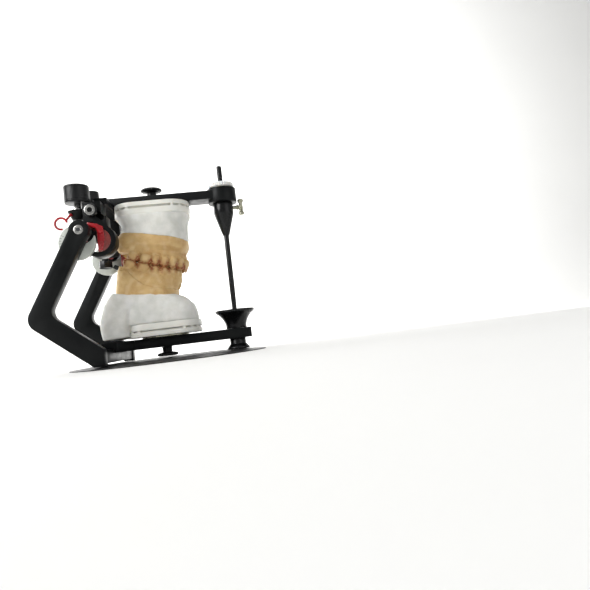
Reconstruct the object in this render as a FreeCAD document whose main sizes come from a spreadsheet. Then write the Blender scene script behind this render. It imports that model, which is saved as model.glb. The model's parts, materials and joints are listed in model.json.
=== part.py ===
import FreeCAD, Part
import math
import os
import Sketcher
from FreeCAD import Placement, Rotation, Vector

# Dental articulator, millimetres. +X points to the incisal pin, +Y to the articulator's left,
# +Z up. The origin is the centre of the carrier plate's underside.

# Overlaps of the shapes that cut or join: they leave no mark on the finished part.
PAST = 1  # how far a cutter or a joined piece reaches past a face
CLEAR_PAST = 5  # how far outside the part a drill starts
THROUGH = 30  # length of a drill that goes right through
DEEP = 10  # length of a drill that opens a counterbore

# Small details that do not follow any size.
CHAMFER = 0.5  # broken edge of a turned end
HEAD_BELOW = 0.4  # how far a screw's head lies below the face
SOCKET_DEPTH = 2.4  # depth of a hexagon socket below the face

doc = FreeCAD.newDocument("articulator")
sheet = doc.addObject("Spreadsheet::Sheet", "Sizes")

SIZES = [
    # alias, value, what it is
    ("plate_radius", 91, "carrier plate, radius"),
    ("plate_thick", 2.5, "carrier plate, thickness"),
    ("plate_rim_thick", 0.8, "carrier plate, thickness at the thinned rim"),
    ("plate_rim_width", 22, "carrier plate, width of the thinned rim"),
    ("plate_bore_radius", 5, "carrier plate, central locating bore"),
    ("plate_hole_radius", 2.25, "carrier plate, fixing hole radius"),
    ("plate_hole_circle", 20, "carrier plate, radius of the fixing hole circle"),
    ("lower_bar_bottom", 12.8, "height of the lower bar's underside"),
    ("bar_spacing", 128.5, "distance between the seat faces of the two bars"),
    ("lower_bar_thick", 9.5, "lower bar, thickness"),
    ("lower_bar_half", 10.5, "lower bar, half width"),
    ("lower_bar_flare", 24, "lower bar, half width where it meets the crossbeam"),
    ("lower_bar_front", 79, "lower bar, front end"),
    ("beam_front", -47, "lower crossbeam, front face"),
    ("beam_depth", 12, "lower crossbeam, depth front to rear"),
    ("beam_bottom", 4.5, "lower crossbeam, height of the underside"),
    ("beam_top", 16.5, "lower crossbeam, height of the top"),
    ("lower_screw_pitch", 16, "lower bar screws, distance between neighbours"),
    ("arm_inner", 56, "inner face of each arm from the middle plane"),
    ("arm_thick", 10, "arm, thickness"),
    ("arm_foot_front", -46, "arm, vertical front face of the foot"),
    ("arm_foot_top", 16.7, "arm, top of the foot's front face"),
    ("arm_elbow_x", -97, "arm, elbow on the centre line"),
    ("arm_elbow_z", 47.3, "arm, height of the elbow on the centre line"),
    ("arm_upper_half", 7.3, "arm, half width of the upper leg"),
    ("arm_lower_half", 8.4, "arm, half width of the lower leg"),
    ("arm_foot_lift", 1.287, "arm, rise of the foot's corner per half width of the leg"),
    ("arm_head_radius", 8.2, "arm, radius of the rounded head"),
    ("elbow_outer_fillet", 11, "arm, outer corner radius"),
    ("elbow_inner_fillet", 9, "arm, inner corner radius"),
    ("axis_x", -57.5, "condylar axis, position"),
    ("axis_drop", 31.8, "condylar axis, distance below the upper bar's seat face"),
    ("ball_inset", 6, "condyle ball centre, distance inside the arm"),
    ("ball_radius", 5, "condyle ball, radius"),
    ("stud_radius", 2.5, "condyle stud, neck radius"),
    ("stud_seat_radius", 4, "condyle stud, radius in the arm"),
    ("stud_recess", 3, "condyle stud, depth of its screw in the arm"),
    ("stud_fit", 0.02, "radial clearance of a pressed or turning shaft"),
    ("slack", 0.3, "gap between faces that move past each other"),
    ("dowel_radius", 2, "dowel, radius"),
    ("dowel_length", 14, "dowel, length"),
    ("dowel_edge", 3, "dowel, distance from the crossbeam's face"),
    ("screw_radius", 2, "small screw, shank radius"),
    ("screw_head_radius", 3.8, "small screw, head radius"),
    ("screw_socket_radius", 1.7, "small screw, radius of the hexagon socket"),
    ("mount_x", -3, "axis of both mounting plates"),
    ("knob_radius", 10, "mounting knob, radius of the grip"),
    ("knob_grip", 4.8, "mounting knob, thickness of the grip"),
    ("knob_neck_radius", 5.5, "mounting knob, neck radius"),
    ("knob_neck", 4.2, "mounting knob, neck length"),
    ("knob_stud_radius", 3, "mounting knob, threaded stud radius"),
    ("holder_radius", 22, "keeper disc, radius"),
    ("holder_thick", 1.5, "keeper disc, thickness"),
    ("magnet_radius", 12, "magnet, radius"),
    ("magnet_thick", 3, "magnet, thickness"),
    ("mount_half_x", 35, "mounting plate, half length"),
    ("mount_half_y", 28, "mounting plate, half width"),
    ("mount_corner", 20, "mounting plate, corner radius"),
    ("base_plate_thick", 5, "mounting base plate, thickness"),
    ("counter_plate_thick", 6, "mounting counter plate, thickness"),
    ("split_gap", 0.5, "parting gap between the two mounting plates"),
    ("pin_x", 65, "incisal pin axis"),
    ("pin_radius", 2.6, "incisal pin, radius"),
    ("pin_foot_ratio", 0.9, "incisal pin, radius of the foot as a share of the pin's"),
    ("pin_rise", 24, "incisal pin, length above the boss"),
    ("pin_taper", 23.2, "incisal pin, length of the tapered foot"),
    ("upper_bar_thick", 8, "upper bar, thickness"),
    ("upper_bar_half", 11, "upper bar, half width"),
    ("upper_bar_rear", -49, "upper bar, rear end"),
    ("boss_radius", 14, "pin boss, radius"),
    ("boss_drop", 3.4, "pin boss, depth below the upper bar"),
    ("boss_rise", 2.5, "pin boss, height above the upper bar"),
    ("sleeve_radius", 9.8, "guide sleeve, radius of the barrel"),
    ("sleeve_barrel", 10.5, "guide sleeve, length of the barrel"),
    ("sleeve_cone", 22, "guide sleeve, length of the cone"),
    ("sleeve_tip_radius", 3.3, "guide sleeve, radius at the tip"),
    ("sleeve_spigot_radius", 6.5, "guide sleeve, radius of the spigot in the boss"),
    ("sleeve_spigot", 8, "guide sleeve, length of the spigot in the boss"),
    ("collar_radius", 12.3, "pin collar, radius"),
    ("collar_thick", 5.4, "pin collar, thickness"),
    ("lock_drop", 5.2, "pin lock screw, axis below the boss"),
    ("lock_radius", 1.9, "pin lock screw, shank radius"),
    ("lock_reach", 7, "pin lock screw, free shank outside the sleeve"),
    ("lock_wing_half", 8, "pin lock screw, half length of the wing bar"),
    ("lock_wing_radius", 2.1, "pin lock screw, radius of the wing bar"),
    ("post_radius", 7.7, "table post, radius of the column"),
    ("post_foot_radius", 10.8, "table post, radius of the foot"),
    ("post_spigot_radius", 4, "table post, radius of the spigot through the bar"),
    ("post_spigot", 5, "table post, length of the spigot in the table"),
    ("table_rim_radius", 19, "incisal table, rim radius"),
    ("table_foot_radius", 10, "incisal table, radius at the bar"),
    ("table_tall", 18.4, "incisal table, height"),
    ("table_lip", 2.8, "incisal table, lip height"),
    ("table_dish", 4.2, "incisal table, depth of the dish"),
    ("upper_beam_rear", -50, "upper crossbeam, rear face"),
    ("upper_beam_depth", 11.5, "upper crossbeam, depth front to rear"),
    ("upper_beam_drop", 4.3, "upper crossbeam, depth below the upper bar's seat face"),
    ("upper_beam_step", 6, "upper crossbeam, depth of its top face below the upper bar's"),
    ("upper_screw_offset", 6, "upper bar screws, distance from the middle plane"),
    ("lug_half", 9, "crossbeam lug, half width"),
    ("lug_overhang", 8, "crossbeam lug, length behind the centre knob's axis"),
    ("ear_rise", 11, "crossbeam ear, lower edge above the condylar axis"),
    ("ear_rear", 3.1, "crossbeam ear, rear face ahead of the condylar axis"),
    ("ear_front", 15.5, "crossbeam ear, front face ahead of the condylar axis"),
    ("ear_thick", 9, "crossbeam ear, thickness"),
    ("housing_gap", 4.5, "gap between a housing and its arm"),
    ("housing_width", 14, "condylar housing, width"),
    ("ring_ahead", 12, "housing ring, centre ahead of the condylar axis"),
    ("ring_drop", 7.5, "housing ring, centre below the condylar axis"),
    ("ring_radius", 14.7, "housing ring, outer radius"),
    ("ring_band", 4.2, "housing ring, width of the band"),
    ("ring_start", -128, "housing ring, lower end in degrees"),
    ("ring_end", 105, "housing ring, upper end in degrees"),
    ("block_rear", 1, "housing block, rear face ahead of the condylar axis"),
    ("block_front", 16.5, "housing block, front face ahead of the condylar axis"),
    ("block_rise", 9.2, "housing block, underside above the condylar axis"),
    ("block_gap", 0.5, "gap between the housing block and the crossbeam"),
    ("web_rear", 9.5, "housing web, rear face ahead of the condylar axis"),
    ("web_depth", 6, "housing web, depth below the block"),
    ("web_nose", 4, "housing web, length ahead of the block"),
    ("lug_behind", 4.5, "clamp knob axis, distance behind the condylar axis"),
    ("lug_inset", 7.5, "clamp knob axis, distance inside the housing's outer face"),
    ("lug_radius", 9, "housing lug, upper radius"),
    ("lug_low_radius", 5, "housing lug, lower radius"),
    ("lug_rise", 13, "housing lug, underside above the condylar axis"),
    ("lug_tall", 8, "housing lug, height"),
    ("clamp_radius", 10.8, "clamp knob, radius"),
    ("clamp_neck", 7.2, "clamp knob, height of its underside above the lug"),
    ("clamp_grip", 15.5, "clamp knob, length"),
    ("clamp_stem_radius", 2.8, "clamp knob, stem radius"),
    ("clamp_flange", 2.2, "clamp knob, overhang of the stem's flange"),
    ("clamp_reach", 5.5, "clamp knob, length of the stem in the lug"),
    ("slot_radius", 20.6, "clamp slot, radius about the condylar axis"),
    ("slot_angle", 67, "clamp screw, angle about the condylar axis in degrees"),
    ("slot_sweep", 30, "clamp slot, sweep in degrees"),
    ("side_radius", 2.5, "side screw, shank radius"),
    ("side_head_radius", 6, "side screw, head radius"),
    ("side_head", 3.6, "side screw, head thickness"),
    ("roof_angle", 20, "condylar inclination at rest in degrees"),
    ("roof_thick", 3.6, "fossa insert, thickness of the roof"),
    ("roof_gap", 0.35, "clearance between the ball and the fossa roof"),
    ("insert_face", 11.1, "fossa insert, front wall ahead of the condylar axis"),
    ("roof_length", 16, "fossa insert, length of the roof"),
    ("roof_tail", 2.5, "fossa insert, length of the roof behind the condylar axis"),
    ("dial_radius", 15.5, "scale dial, radius"),
    ("dial_behind", 5, "scale dial, centre behind the condylar axis"),
    ("dial_drop", 8.5, "scale dial, centre below the condylar axis"),
    ("dial_thick", 3.6, "scale dial, thickness"),
    ("dial_notch", 10.2, "scale dial, radius of the notch about the condyle"),
    ("shift_behind", 4, "shift knob axis, distance behind the condylar axis"),
    ("shift_radius", 6.8, "shift knob, radius over the corners"),
    ("shift_drop", 11, "shift knob, top below the condylar axis"),
    ("shift_lug_half", 3, "shift knob, half width of its lug"),
    ("shift_tall", 7.5, "shift knob, height"),
    ("cheek_thick", 4.2, "housing cheek, thickness"),
    ("cheek_rear", 8.5, "housing cheek, length behind the condylar axis"),
    ("cheek_front", 10.5, "housing cheek, length ahead of the condylar axis"),
    ("cheek_drop", 7.6, "housing cheek, depth below the condylar axis"),
    ("retainer_thick", 2.1, "ball retainer, thickness"),
    ("retainer_gap", 0.5, "ball retainer, clearance to the ball"),
    ("retainer_half", 3, "ball retainer, width inside the ball's centre"),
    ("retainer_start", 168, "ball retainer, rear end in degrees"),
    ("retainer_end", 285, "ball retainer, lower end in degrees"),
    ("lever_behind", 17.5, "lock lever, centre of the loop behind the condylar axis"),
    ("lever_rise", 9.6, "lock lever, centre of the loop above the condylar axis"),
    ("lever_radius", 5, "lock lever, radius of the loop"),
    ("lever_wire", 1, "lock lever, radius of the wire"),
    ("lever_offset", 8.2, "lock lever, distance outside the clamp knob's axis"),
    ("lever_pivot", 4.4, "lock lever, pivot behind the clamp knob's axis"),
    ("lever_pivot_rise", 4, "lock lever, pivot above the lug's underside"),
    ("lever_grip", 2.5, "lock lever, inner end of its pivot outside the clamp knob's axis"),
    ("lever_fit", 0.12, "lock lever, radial clearance of its pivot"),
    ("centre_x", -60, "centre knob axis"),
    ("centre_radius", 7, "centre knob, radius"),
    ("centre_tall", 11, "centre knob, height"),
    ("cast_gap", 9, "gap between the stone casts and the housings"),
    ("cast_centre", -2, "stone casts, centre of the rounded front"),
    ("cast_corner", -33, "stone casts, start of the trimmed rear corners"),
    ("cast_trim", 0.9, "stone casts, slope of the trimmed rear corners"),
    ("lower_cast_tall", 18.3, "lower cast, height at the front"),
    ("lower_base_slope", 3.6, "lower cast, rise of its base to the rear"),
    ("upper_cast_front_tall", 30.2, "upper cast, height at the front"),
    ("upper_cast_rear_tall", 30, "upper cast, height at the rear"),
    ("plaster_ledge", 2, "plaster mounts, overhang past the stone casts"),
    ("bite_front", 24.5, "occlusal plane, front end"),
    ("bite_front_drop", 66.5, "occlusal plane, front end below the upper bar's seat face"),
    ("bite_rear", -33, "occlusal plane, rear end"),
    ("bite_rear_drop", 51.8, "occlusal plane, rear end below the upper bar's seat face"),
    ("bite_gap", 0.6, "gap between the upper and lower casts"),
]

for row, (alias, value, note) in enumerate(SIZES, start=1):
    sheet.set(f"A{row}", note)
    sheet.set(f"B{row}", str(value))
    sheet.setAlias(f"B{row}", alias)
doc.recompute()


class Size:
    """A value from the sheet, kept with the expression that ties a property to it."""

    def __init__(self, value, text):
        self.value = value
        self.text = text

    def _joined(self, other, sign, value):
        return Size(value, f"({self.text} {sign} {as_size(other).text})")

    def __add__(self, other):
        return self._joined(other, "+", self.value + as_size(other).value)

    def __radd__(self, other):
        return as_size(other) + self

    def __sub__(self, other):
        return self._joined(other, "-", self.value - as_size(other).value)

    def __rsub__(self, other):
        return as_size(other) - self

    def __mul__(self, other):
        return self._joined(other, "*", self.value * as_size(other).value)

    def __rmul__(self, other):
        return as_size(other) * self

    def __truediv__(self, other):
        return self._joined(other, "/", self.value / as_size(other).value)

    def __neg__(self):
        return as_size(0) - self


def as_size(value):
    """Turn a plain number into a Size."""
    return value if isinstance(value, Size) else Size(float(value), repr(float(value)))


class Sheet:
    """Reads a cell of the sheet as a Size."""

    def __getattr__(self, alias):
        return Size(float(sheet.get(alias)), f"Sizes.{alias}")


s = Sheet()
nodes = []


def bind(obj, prop, size):
    """Tie one property to a Size."""
    size = as_size(size)
    obj.setExpression(prop, size.text)


def place(obj, x=0, y=0, z=0, rotation=None):
    """Put an object at x, y, z, tied to the sheet, with a fixed rotation."""
    obj.Placement = Placement(Vector(0, 0, 0), rotation or Rotation())
    bind(obj, "Placement.Base.x", x)
    bind(obj, "Placement.Base.y", y)
    bind(obj, "Placement.Base.z", z)


def keep(obj, label):
    """Name a finished sub-part, which is written out as its own file."""
    obj.Label = label
    nodes.append(obj)
    return obj


# Turns that lay a piece's own Z axis along +X, -Y and +Y.
ALONG_X = Rotation(Vector(0, 1, 0), 90)
ALONG_RIGHT = Rotation(Vector(1, 0, 0), 90)
ALONG_LEFT = Rotation(Vector(1, 0, 0), -90)
SIDES = [("right", -1, ALONG_RIGHT), ("left", 1, ALONG_LEFT)]


def origin_plane(body, role):
    """Find one of a body's own origin planes by its role."""
    for feature in body.Origin.OriginFeatures:
        if feature.Role == role:
            return feature
    return None


def new_body(name):
    """Add an empty PartDesign body."""
    return doc.addObject("PartDesign::Body", name)


def polygon_sketch(body, role, points, name="Profile"):
    """Draw a closed polygon, each corner tied to the sheet, on a plane of the body."""
    sketch = body.newObject("Sketcher::SketchObject", f"{body.Name}_{name}")
    sketch.AttachmentSupport = [(origin_plane(body, role), "")]
    sketch.MapMode = "FlatFace"
    corners = [(as_size(u), as_size(v)) for u, v in points]
    vectors = [Vector(u.value, v.value, 0) for u, v in corners]
    count = len(vectors)
    for i in range(count):
        sketch.addGeometry(Part.LineSegment(vectors[i], vectors[(i + 1) % count]), False)
    for i in range(count):
        sketch.addConstraint(Sketcher.Constraint("Coincident", i, 2, (i + 1) % count, 1))
    for i, (u, v) in enumerate(corners):
        tie_coordinate(sketch, i, "DistanceX", u, -2)
        tie_coordinate(sketch, i, "DistanceY", v, -1)
    return sketch


def tie_coordinate(sketch, corner, kind, size, axis):
    """Tie one coordinate of a corner; a zero coordinate lies on the sketch's own axis."""
    if size.text == "0.0":
        sketch.addConstraint(Sketcher.Constraint("PointOnObject", corner, 1, axis))
        return
    index = sketch.addConstraint(Sketcher.Constraint(kind, corner, 1, size.value))
    sketch.setExpression(f"Constraints[{index}]", size.text)


def circle_sketch(body, role, u, v, radius, name="Circle"):
    """Draw one circle on a plane of the body."""
    sketch = body.newObject("Sketcher::SketchObject", f"{body.Name}_{name}")
    sketch.AttachmentSupport = [(origin_plane(body, role), "")]
    sketch.MapMode = "FlatFace"
    u, v, radius = as_size(u), as_size(v), as_size(radius)
    circle = Part.Circle(Vector(u.value, v.value, 0), Vector(0, 0, 1), radius.value)
    sketch.addGeometry(circle, False)
    for kind, size, axis in (("DistanceX", u, -2), ("DistanceY", v, -1)):
        if size.text == "0.0":
            sketch.addConstraint(Sketcher.Constraint("PointOnObject", 0, 3, axis))
            continue
        index = sketch.addConstraint(Sketcher.Constraint(kind, 0, 3, size.value))
        sketch.setExpression(f"Constraints[{index}]", size.text)
    index = sketch.addConstraint(Sketcher.Constraint("Radius", 0, radius.value))
    sketch.setExpression(f"Constraints[{index}]", radius.text)
    return sketch


def turned(name, profile):
    """Turn a profile of (radius, height) corners about the body's own Z axis."""
    body = new_body(name)
    sketch = polygon_sketch(body, "XZ_Plane", profile)
    turn = body.newObject("PartDesign::Revolution", f"{name}_turn")
    turn.Profile = sketch
    turn.ReferenceAxis = (sketch, ["V_Axis"])
    turn.Angle = 360
    body.Tip = turn
    return body


def padded(name, role, outline, length):
    """Pad a polygon. On XZ_Plane the pad grows towards -Y."""
    body = new_body(name)
    sketch = polygon_sketch(body, role, outline)
    pad = body.newObject("PartDesign::Pad", f"{name}_pad")
    pad.Profile = sketch
    bind(pad, "Length", length)
    body.Tip = pad
    return body


def drill(body, name, role, u, v, radius):
    """Cut a round hole right through the body, across the given plane."""
    sketch = circle_sketch(body, role, u, v, radius, name)
    pocket = body.newObject("PartDesign::Pocket", f"{body.Name}_{name}_cut")
    pocket.Profile = sketch
    pocket.Type = "ThroughAll"
    pocket.Midplane = True
    body.Tip = pocket
    return pocket


def round_edges(body, name, radius, wanted):
    """Fillet the edges of the body's tip for which wanted(edge) is true."""
    doc.recompute()
    tip = body.Tip
    picked = [f"Edge{i}" for i, edge in enumerate(tip.Shape.Edges, start=1) if wanted(edge)]
    fillet = body.newObject("PartDesign::Fillet", f"{body.Name}_{name}")
    fillet.Base = (tip, picked)
    bind(fillet, "Radius", radius)
    body.Tip = fillet
    return fillet


def is_upright(edge):
    """True for a straight edge along Z."""
    bounds = edge.BoundBox
    return bounds.ZLength > 1e-3 and bounds.XLength < 1e-6 and bounds.YLength < 1e-6


def box(name, x_span, y_span, z_span):
    """A Part box between two corners."""
    solid = doc.addObject("Part::Box", name)
    for prop, (low, high) in (("Length", x_span), ("Width", y_span), ("Height", z_span)):
        bind(solid, prop, as_size(high) - low)
    place(solid, x_span[0], y_span[0], z_span[0])
    return solid


def cylinder(name, radius, length, x, y, z, rotation=None):
    """A Part cylinder that starts at x, y, z and grows along its own Z axis."""
    solid = doc.addObject("Part::Cylinder", name)
    bind(solid, "Radius", radius)
    bind(solid, "Height", length)
    place(solid, x, y, z, rotation)
    return solid


def fuse(name, *pieces):
    """Join Part objects."""
    solid = doc.addObject("Part::MultiFuse", name)
    solid.Shapes = list(pieces)
    solid.Refine = True
    return solid


def cut(name, base, *tools):
    """Cut Part objects out of a base."""
    solid = doc.addObject("Part::Cut", name)
    solid.Base = base
    solid.Tool = tools[0] if len(tools) == 1 else fuse(f"{name}_tools", *tools)
    return solid


def common(name, first, second):
    """Keep what two Part objects share."""
    solid = doc.addObject("Part::Common", name)
    solid.Base = first
    solid.Tool = second
    return solid


def outward(side, near, far):
    """A y span between two distances from the middle plane, on one side."""
    return (as_size(near), as_size(far)) if side > 0 else (-as_size(far), -as_size(near))


# Levels and faces that several pieces share --------------------------------------------------

bar_bottom = s.lower_bar_bottom
bar_top = bar_bottom + s.lower_bar_thick
upper_seat = bar_top + s.bar_spacing
upper_bar_top = upper_seat + s.upper_bar_thick
boss_bottom = upper_seat - s.boss_drop
boss_top = upper_bar_top + s.boss_rise
lock_height = boss_bottom - s.lock_drop
upper_beam_bottom = upper_seat - s.upper_beam_drop
upper_beam_front = s.upper_beam_rear + s.upper_beam_depth
beam_rear = s.beam_front - s.beam_depth
screw_seat = s.screw_radius * 2
ball_offset = s.arm_inner - s.ball_inset
housing_outer = s.arm_inner - s.housing_gap
housing_inner = housing_outer - s.housing_width
upper_beam_half = housing_inner - s.slack
cast_half = housing_inner - s.cast_gap
plaster_half = cast_half + s.plaster_ledge
axis_z = upper_seat - s.axis_drop
ring_x = s.axis_x + s.ring_ahead
ring_z = axis_z - s.ring_drop
block_bottom = axis_z + s.block_rise
block_front = s.axis_x + s.block_front
lug_x = s.axis_x - s.lug_behind
lug_offset = housing_outer - s.lug_inset
lug_bottom = axis_z + s.lug_rise
lug_top = lug_bottom + s.lug_tall
shift_x = s.axis_x - s.shift_behind
shift_offset = housing_inner + s.cheek_thick / 2
shift_top = axis_z - s.shift_drop
pin_foot_radius = s.pin_radius * s.pin_foot_ratio
pin_foot = bar_top + s.table_tall - s.table_dish + s.slack


# Carrier plate ------------------------------------------------------------------------------

def make_carrier_plate():
    """A thin round plate with a thinned rim, a locating bore and four fixing holes."""
    body = turned("carrier_plate", [
        (s.plate_bore_radius, 0),
        (s.plate_radius, 0),
        (s.plate_radius, s.plate_rim_thick),
        (s.plate_radius - s.plate_rim_width, s.plate_thick),
        (s.plate_bore_radius, s.plate_thick),
    ])
    for i, (u, v) in enumerate([(1, 0), (0, 1), (-1, 0), (0, -1)]):
        drill(body, f"hole{i}", "XY_Plane", s.plate_hole_circle * u if u else 0,
              s.plate_hole_circle * v if v else 0, s.plate_hole_radius)
    keep(body, "carrier_plate")


# Lower frame --------------------------------------------------------------------------------

lower_screw_places = [(s.beam_front - s.beam_depth / 2, s.lower_screw_pitch * i) for i in (-1, 0, 1)]


def make_lower_bar():
    """The flat bar, flared at the rear, with holes for the post, the knob and its screws."""
    flare_start = s.beam_front + 17
    flare_end = s.beam_front + 3
    body = padded("lower_bar", "XY_Plane", [
        (s.lower_bar_front, -s.lower_bar_half),
        (s.lower_bar_front, s.lower_bar_half),
        (flare_start, s.lower_bar_half),
        (flare_end, s.lower_bar_flare),
        (beam_rear, s.lower_bar_flare),
        (beam_rear, -s.lower_bar_flare),
        (flare_end, -s.lower_bar_flare),
        (flare_start, -s.lower_bar_half),
    ], s.lower_bar_thick)
    round_edges(body, "corners", 2, is_upright)
    drill(body, "post_hole", "XY_Plane", s.pin_x, 0, s.post_spigot_radius + s.stud_fit)
    drill(body, "knob_hole", "XY_Plane", s.mount_x, 0, s.knob_stud_radius + s.stud_fit)
    for i, (x, y) in enumerate(lower_screw_places):
        drill(body, f"screw_hole{i}", "XY_Plane", x, y, s.screw_radius)
        counterbore(body, f"seat{i}", x, y)
    place(body, 0, 0, bar_bottom)
    keep(body, "lower_bar")


def counterbore(body, name, x, y):
    """A flat seat for a screw head, sunk from the body's top."""
    sketch = circle_sketch(body, "XY_Plane", x, y, s.screw_head_radius, name)
    bind(sketch, "AttachmentOffset.Base.z", s.lower_bar_thick - screw_seat)
    pocket = body.newObject("PartDesign::Pocket", f"{body.Name}_{name}_cut")
    pocket.Profile = sketch
    pocket.Type = "Length"
    bind(pocket, "Length", screw_seat * 2)
    pocket.Reversed = True
    body.Tip = pocket


def make_lower_crossbeam():
    """The beam between the arms, notched for the bar, drilled for screws and dowels."""
    whole = box("lower_beam_blank", (beam_rear, s.beam_front), (-s.arm_inner, s.arm_inner),
                (s.beam_bottom, s.beam_top))
    notch = box("lower_beam_notch", (beam_rear - PAST, s.beam_front + PAST),
                (-s.lower_bar_flare, s.lower_bar_flare), (bar_bottom, s.beam_top + PAST))
    holes = [cylinder(f"lower_beam_screw{i}", s.screw_radius, s.beam_top, x, y, s.beam_bottom - PAST)
             for i, (x, y) in enumerate(lower_screw_places)]
    for name, side, turn in SIDES:
        for i, x in enumerate(dowel_places()):
            holes.append(cylinder(f"beam_dowel_{name}{i}", s.dowel_radius, s.dowel_length, x,
                                  side * (s.arm_inner - s.dowel_length / 2), dowel_height(), turn))
    keep(cut("lower_beam", whole, notch, *holes), "lower_crossbeam")


def dowel_places():
    """Positions of the two dowels at each end of the lower crossbeam."""
    return [s.beam_front - s.dowel_edge, beam_rear + s.dowel_edge]


def dowel_height():
    """Height of the dowels."""
    return (s.beam_bottom + s.beam_top) / 2


def make_lower_screws():
    """Three socket screws that hold the bar to the crossbeam."""
    screws = []
    for i, (x, y) in enumerate(lower_screw_places):
        head_z = bar_top - screw_seat
        shank = cylinder(f"lower_screw_shank{i}", s.screw_radius, head_z - s.beam_bottom - 2,
                         x, y, s.beam_bottom + 2)
        head = cylinder(f"lower_screw_head{i}", s.screw_head_radius, screw_seat - HEAD_BELOW, x, y, head_z)
        socket = hex_socket(f"lower_screw_socket{i}", s.screw_socket_radius, x, y,
                            bar_top - SOCKET_DEPTH, None)
        screws.append(cut(f"lower_screw{i}", fuse(f"lower_screw_blank{i}", shank, head), socket))
    keep(group("lower_screws", screws), "lower_bar_screws")


def hex_socket(name, radius, x, y, z, rotation):
    """A six-sided socket cutter that grows along its own Z axis."""
    prism = doc.addObject("Part::Prism", name)
    prism.Polygon = 6
    bind(prism, "Circumradius", radius)
    bind(prism, "Height", 6)
    place(prism, x, y, z, rotation)
    return prism


def group(name, pieces):
    """Hold separate identical solids in one node."""
    compound = doc.addObject("Part::Compound", name)
    compound.Links = list(pieces)
    return compound


def leg_normal(start, end):
    """Unit normal of a leg as two Sizes, to the left of start to end."""
    run = end[0] - start[0]
    rise = end[1] - start[1]
    value = math.hypot(run.value, rise.value)
    length = Size(value, f"sqrt({run.text} * {run.text} + {rise.text} * {rise.text})")
    return -(rise / length), run / length


def crossing(point, slope, other, other_slope):
    """Where two sloped lines meet: each is x = point.x + slope * (z - point.z)."""
    top = point[0] - slope * point[1] - other[0] + other_slope * other[1]
    z = top / (other_slope - slope)
    return point[0] + slope * (z - point[1]), z


def arm_outline():
    """Corners of the boomerang arm: foot, outer elbow, head and inner elbow."""
    axis = (s.axis_x, axis_z)
    elbow = (s.arm_elbow_x, s.arm_elbow_z)
    toe_z = s.arm_foot_top - s.arm_lower_half * s.arm_foot_lift
    toe = (s.arm_foot_front, toe_z)
    upper_nx, upper_nz = leg_normal(elbow, axis)
    lower_nx, lower_nz = leg_normal(elbow, toe)
    upper_slope = (axis[0] - elbow[0]) / (axis[1] - elbow[1])
    lower_slope = (toe[0] - elbow[0]) / (toe[1] - elbow[1])
    head_outer = (axis[0] + upper_nx * s.arm_upper_half, axis[1] + upper_nz * s.arm_upper_half)
    head_inner = (axis[0] - upper_nx * s.arm_upper_half, axis[1] - upper_nz * s.arm_upper_half)
    low_outer = (elbow[0] - lower_nx * s.arm_lower_half, elbow[1] - lower_nz * s.arm_lower_half)
    low_inner = (elbow[0] + lower_nx * s.arm_lower_half, elbow[1] + lower_nz * s.arm_lower_half)
    outer = crossing(head_outer, upper_slope, low_outer, lower_slope)
    inner = crossing(head_inner, upper_slope, low_inner, lower_slope)
    foot_rear = (low_outer[0] + lower_slope * (s.plate_thick - low_outer[1]), s.plate_thick)
    foot_top = low_inner[1] + (s.arm_foot_front - low_inner[0]) / lower_slope
    return [foot_rear, outer, head_outer, head_inner, inner,
            (s.arm_foot_front, foot_top), (s.arm_foot_front, s.plate_thick)], outer, inner


def near_corner(corner):
    """A test for the edge across the arm at one corner of its outline."""
    def test(edge):
        centre = edge.BoundBox.Center
        across = edge.BoundBox.YLength > 1
        gap = math.hypot(centre.x - corner[0].value, centre.z - corner[1].value)
        return across and gap < 0.05
    return test


def make_arm(name, side):
    """One boomerang arm with a rounded head, a stud bore and two dowel holes."""
    outline, outer, inner = arm_outline()
    body = padded(f"arm_{name}", "XZ_Plane", outline, s.arm_thick)
    round_edges(body, "outer_elbow", s.elbow_outer_fillet, near_corner(outer))
    round_edges(body, "inner_elbow", s.elbow_inner_fillet, near_corner(inner))
    head = body.newObject("PartDesign::Pad", f"arm_{name}_head")
    head.Profile = circle_sketch(body, "XZ_Plane", s.axis_x, axis_z, s.arm_head_radius, "head")
    bind(head, "Length", s.arm_thick)
    body.Tip = head
    drill(body, "stud_bore", "XZ_Plane", s.axis_x, axis_z, s.stud_seat_radius)
    for i, x in enumerate(dowel_places()):
        sketch = circle_sketch(body, "XZ_Plane", x, dowel_height(), s.dowel_radius, f"dowel{i}")
        pocket = body.newObject("PartDesign::Pocket", f"arm_{name}_dowel{i}_cut")
        pocket.Profile = sketch
        bind(pocket, "Length", s.dowel_length / 2)
        # The inner face is at the sketch on the right arm and at the pad's end on the left arm.
        if side < 0:
            pocket.Reversed = True
        else:
            bind(sketch, "AttachmentOffset.Base.z", s.arm_thick)
        body.Tip = pocket
    place(body, 0, -s.arm_inner if side < 0 else s.arm_inner + s.arm_thick, 0)
    keep(body, f"arm_{name}")


def make_arm_dowels():
    """Four steel dowels that locate the crossbeam in the arms."""
    dowels = []
    for name, side, turn in SIDES:
        for i, x in enumerate(dowel_places()):
            start = side * (s.arm_inner - s.dowel_length / 2)
            dowels.append(cylinder(f"dowel_{name}{i}", s.dowel_radius, s.dowel_length, x, start,
                                   dowel_height(), turn))
    keep(group("dowels", dowels), "arm_dowels")


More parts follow.
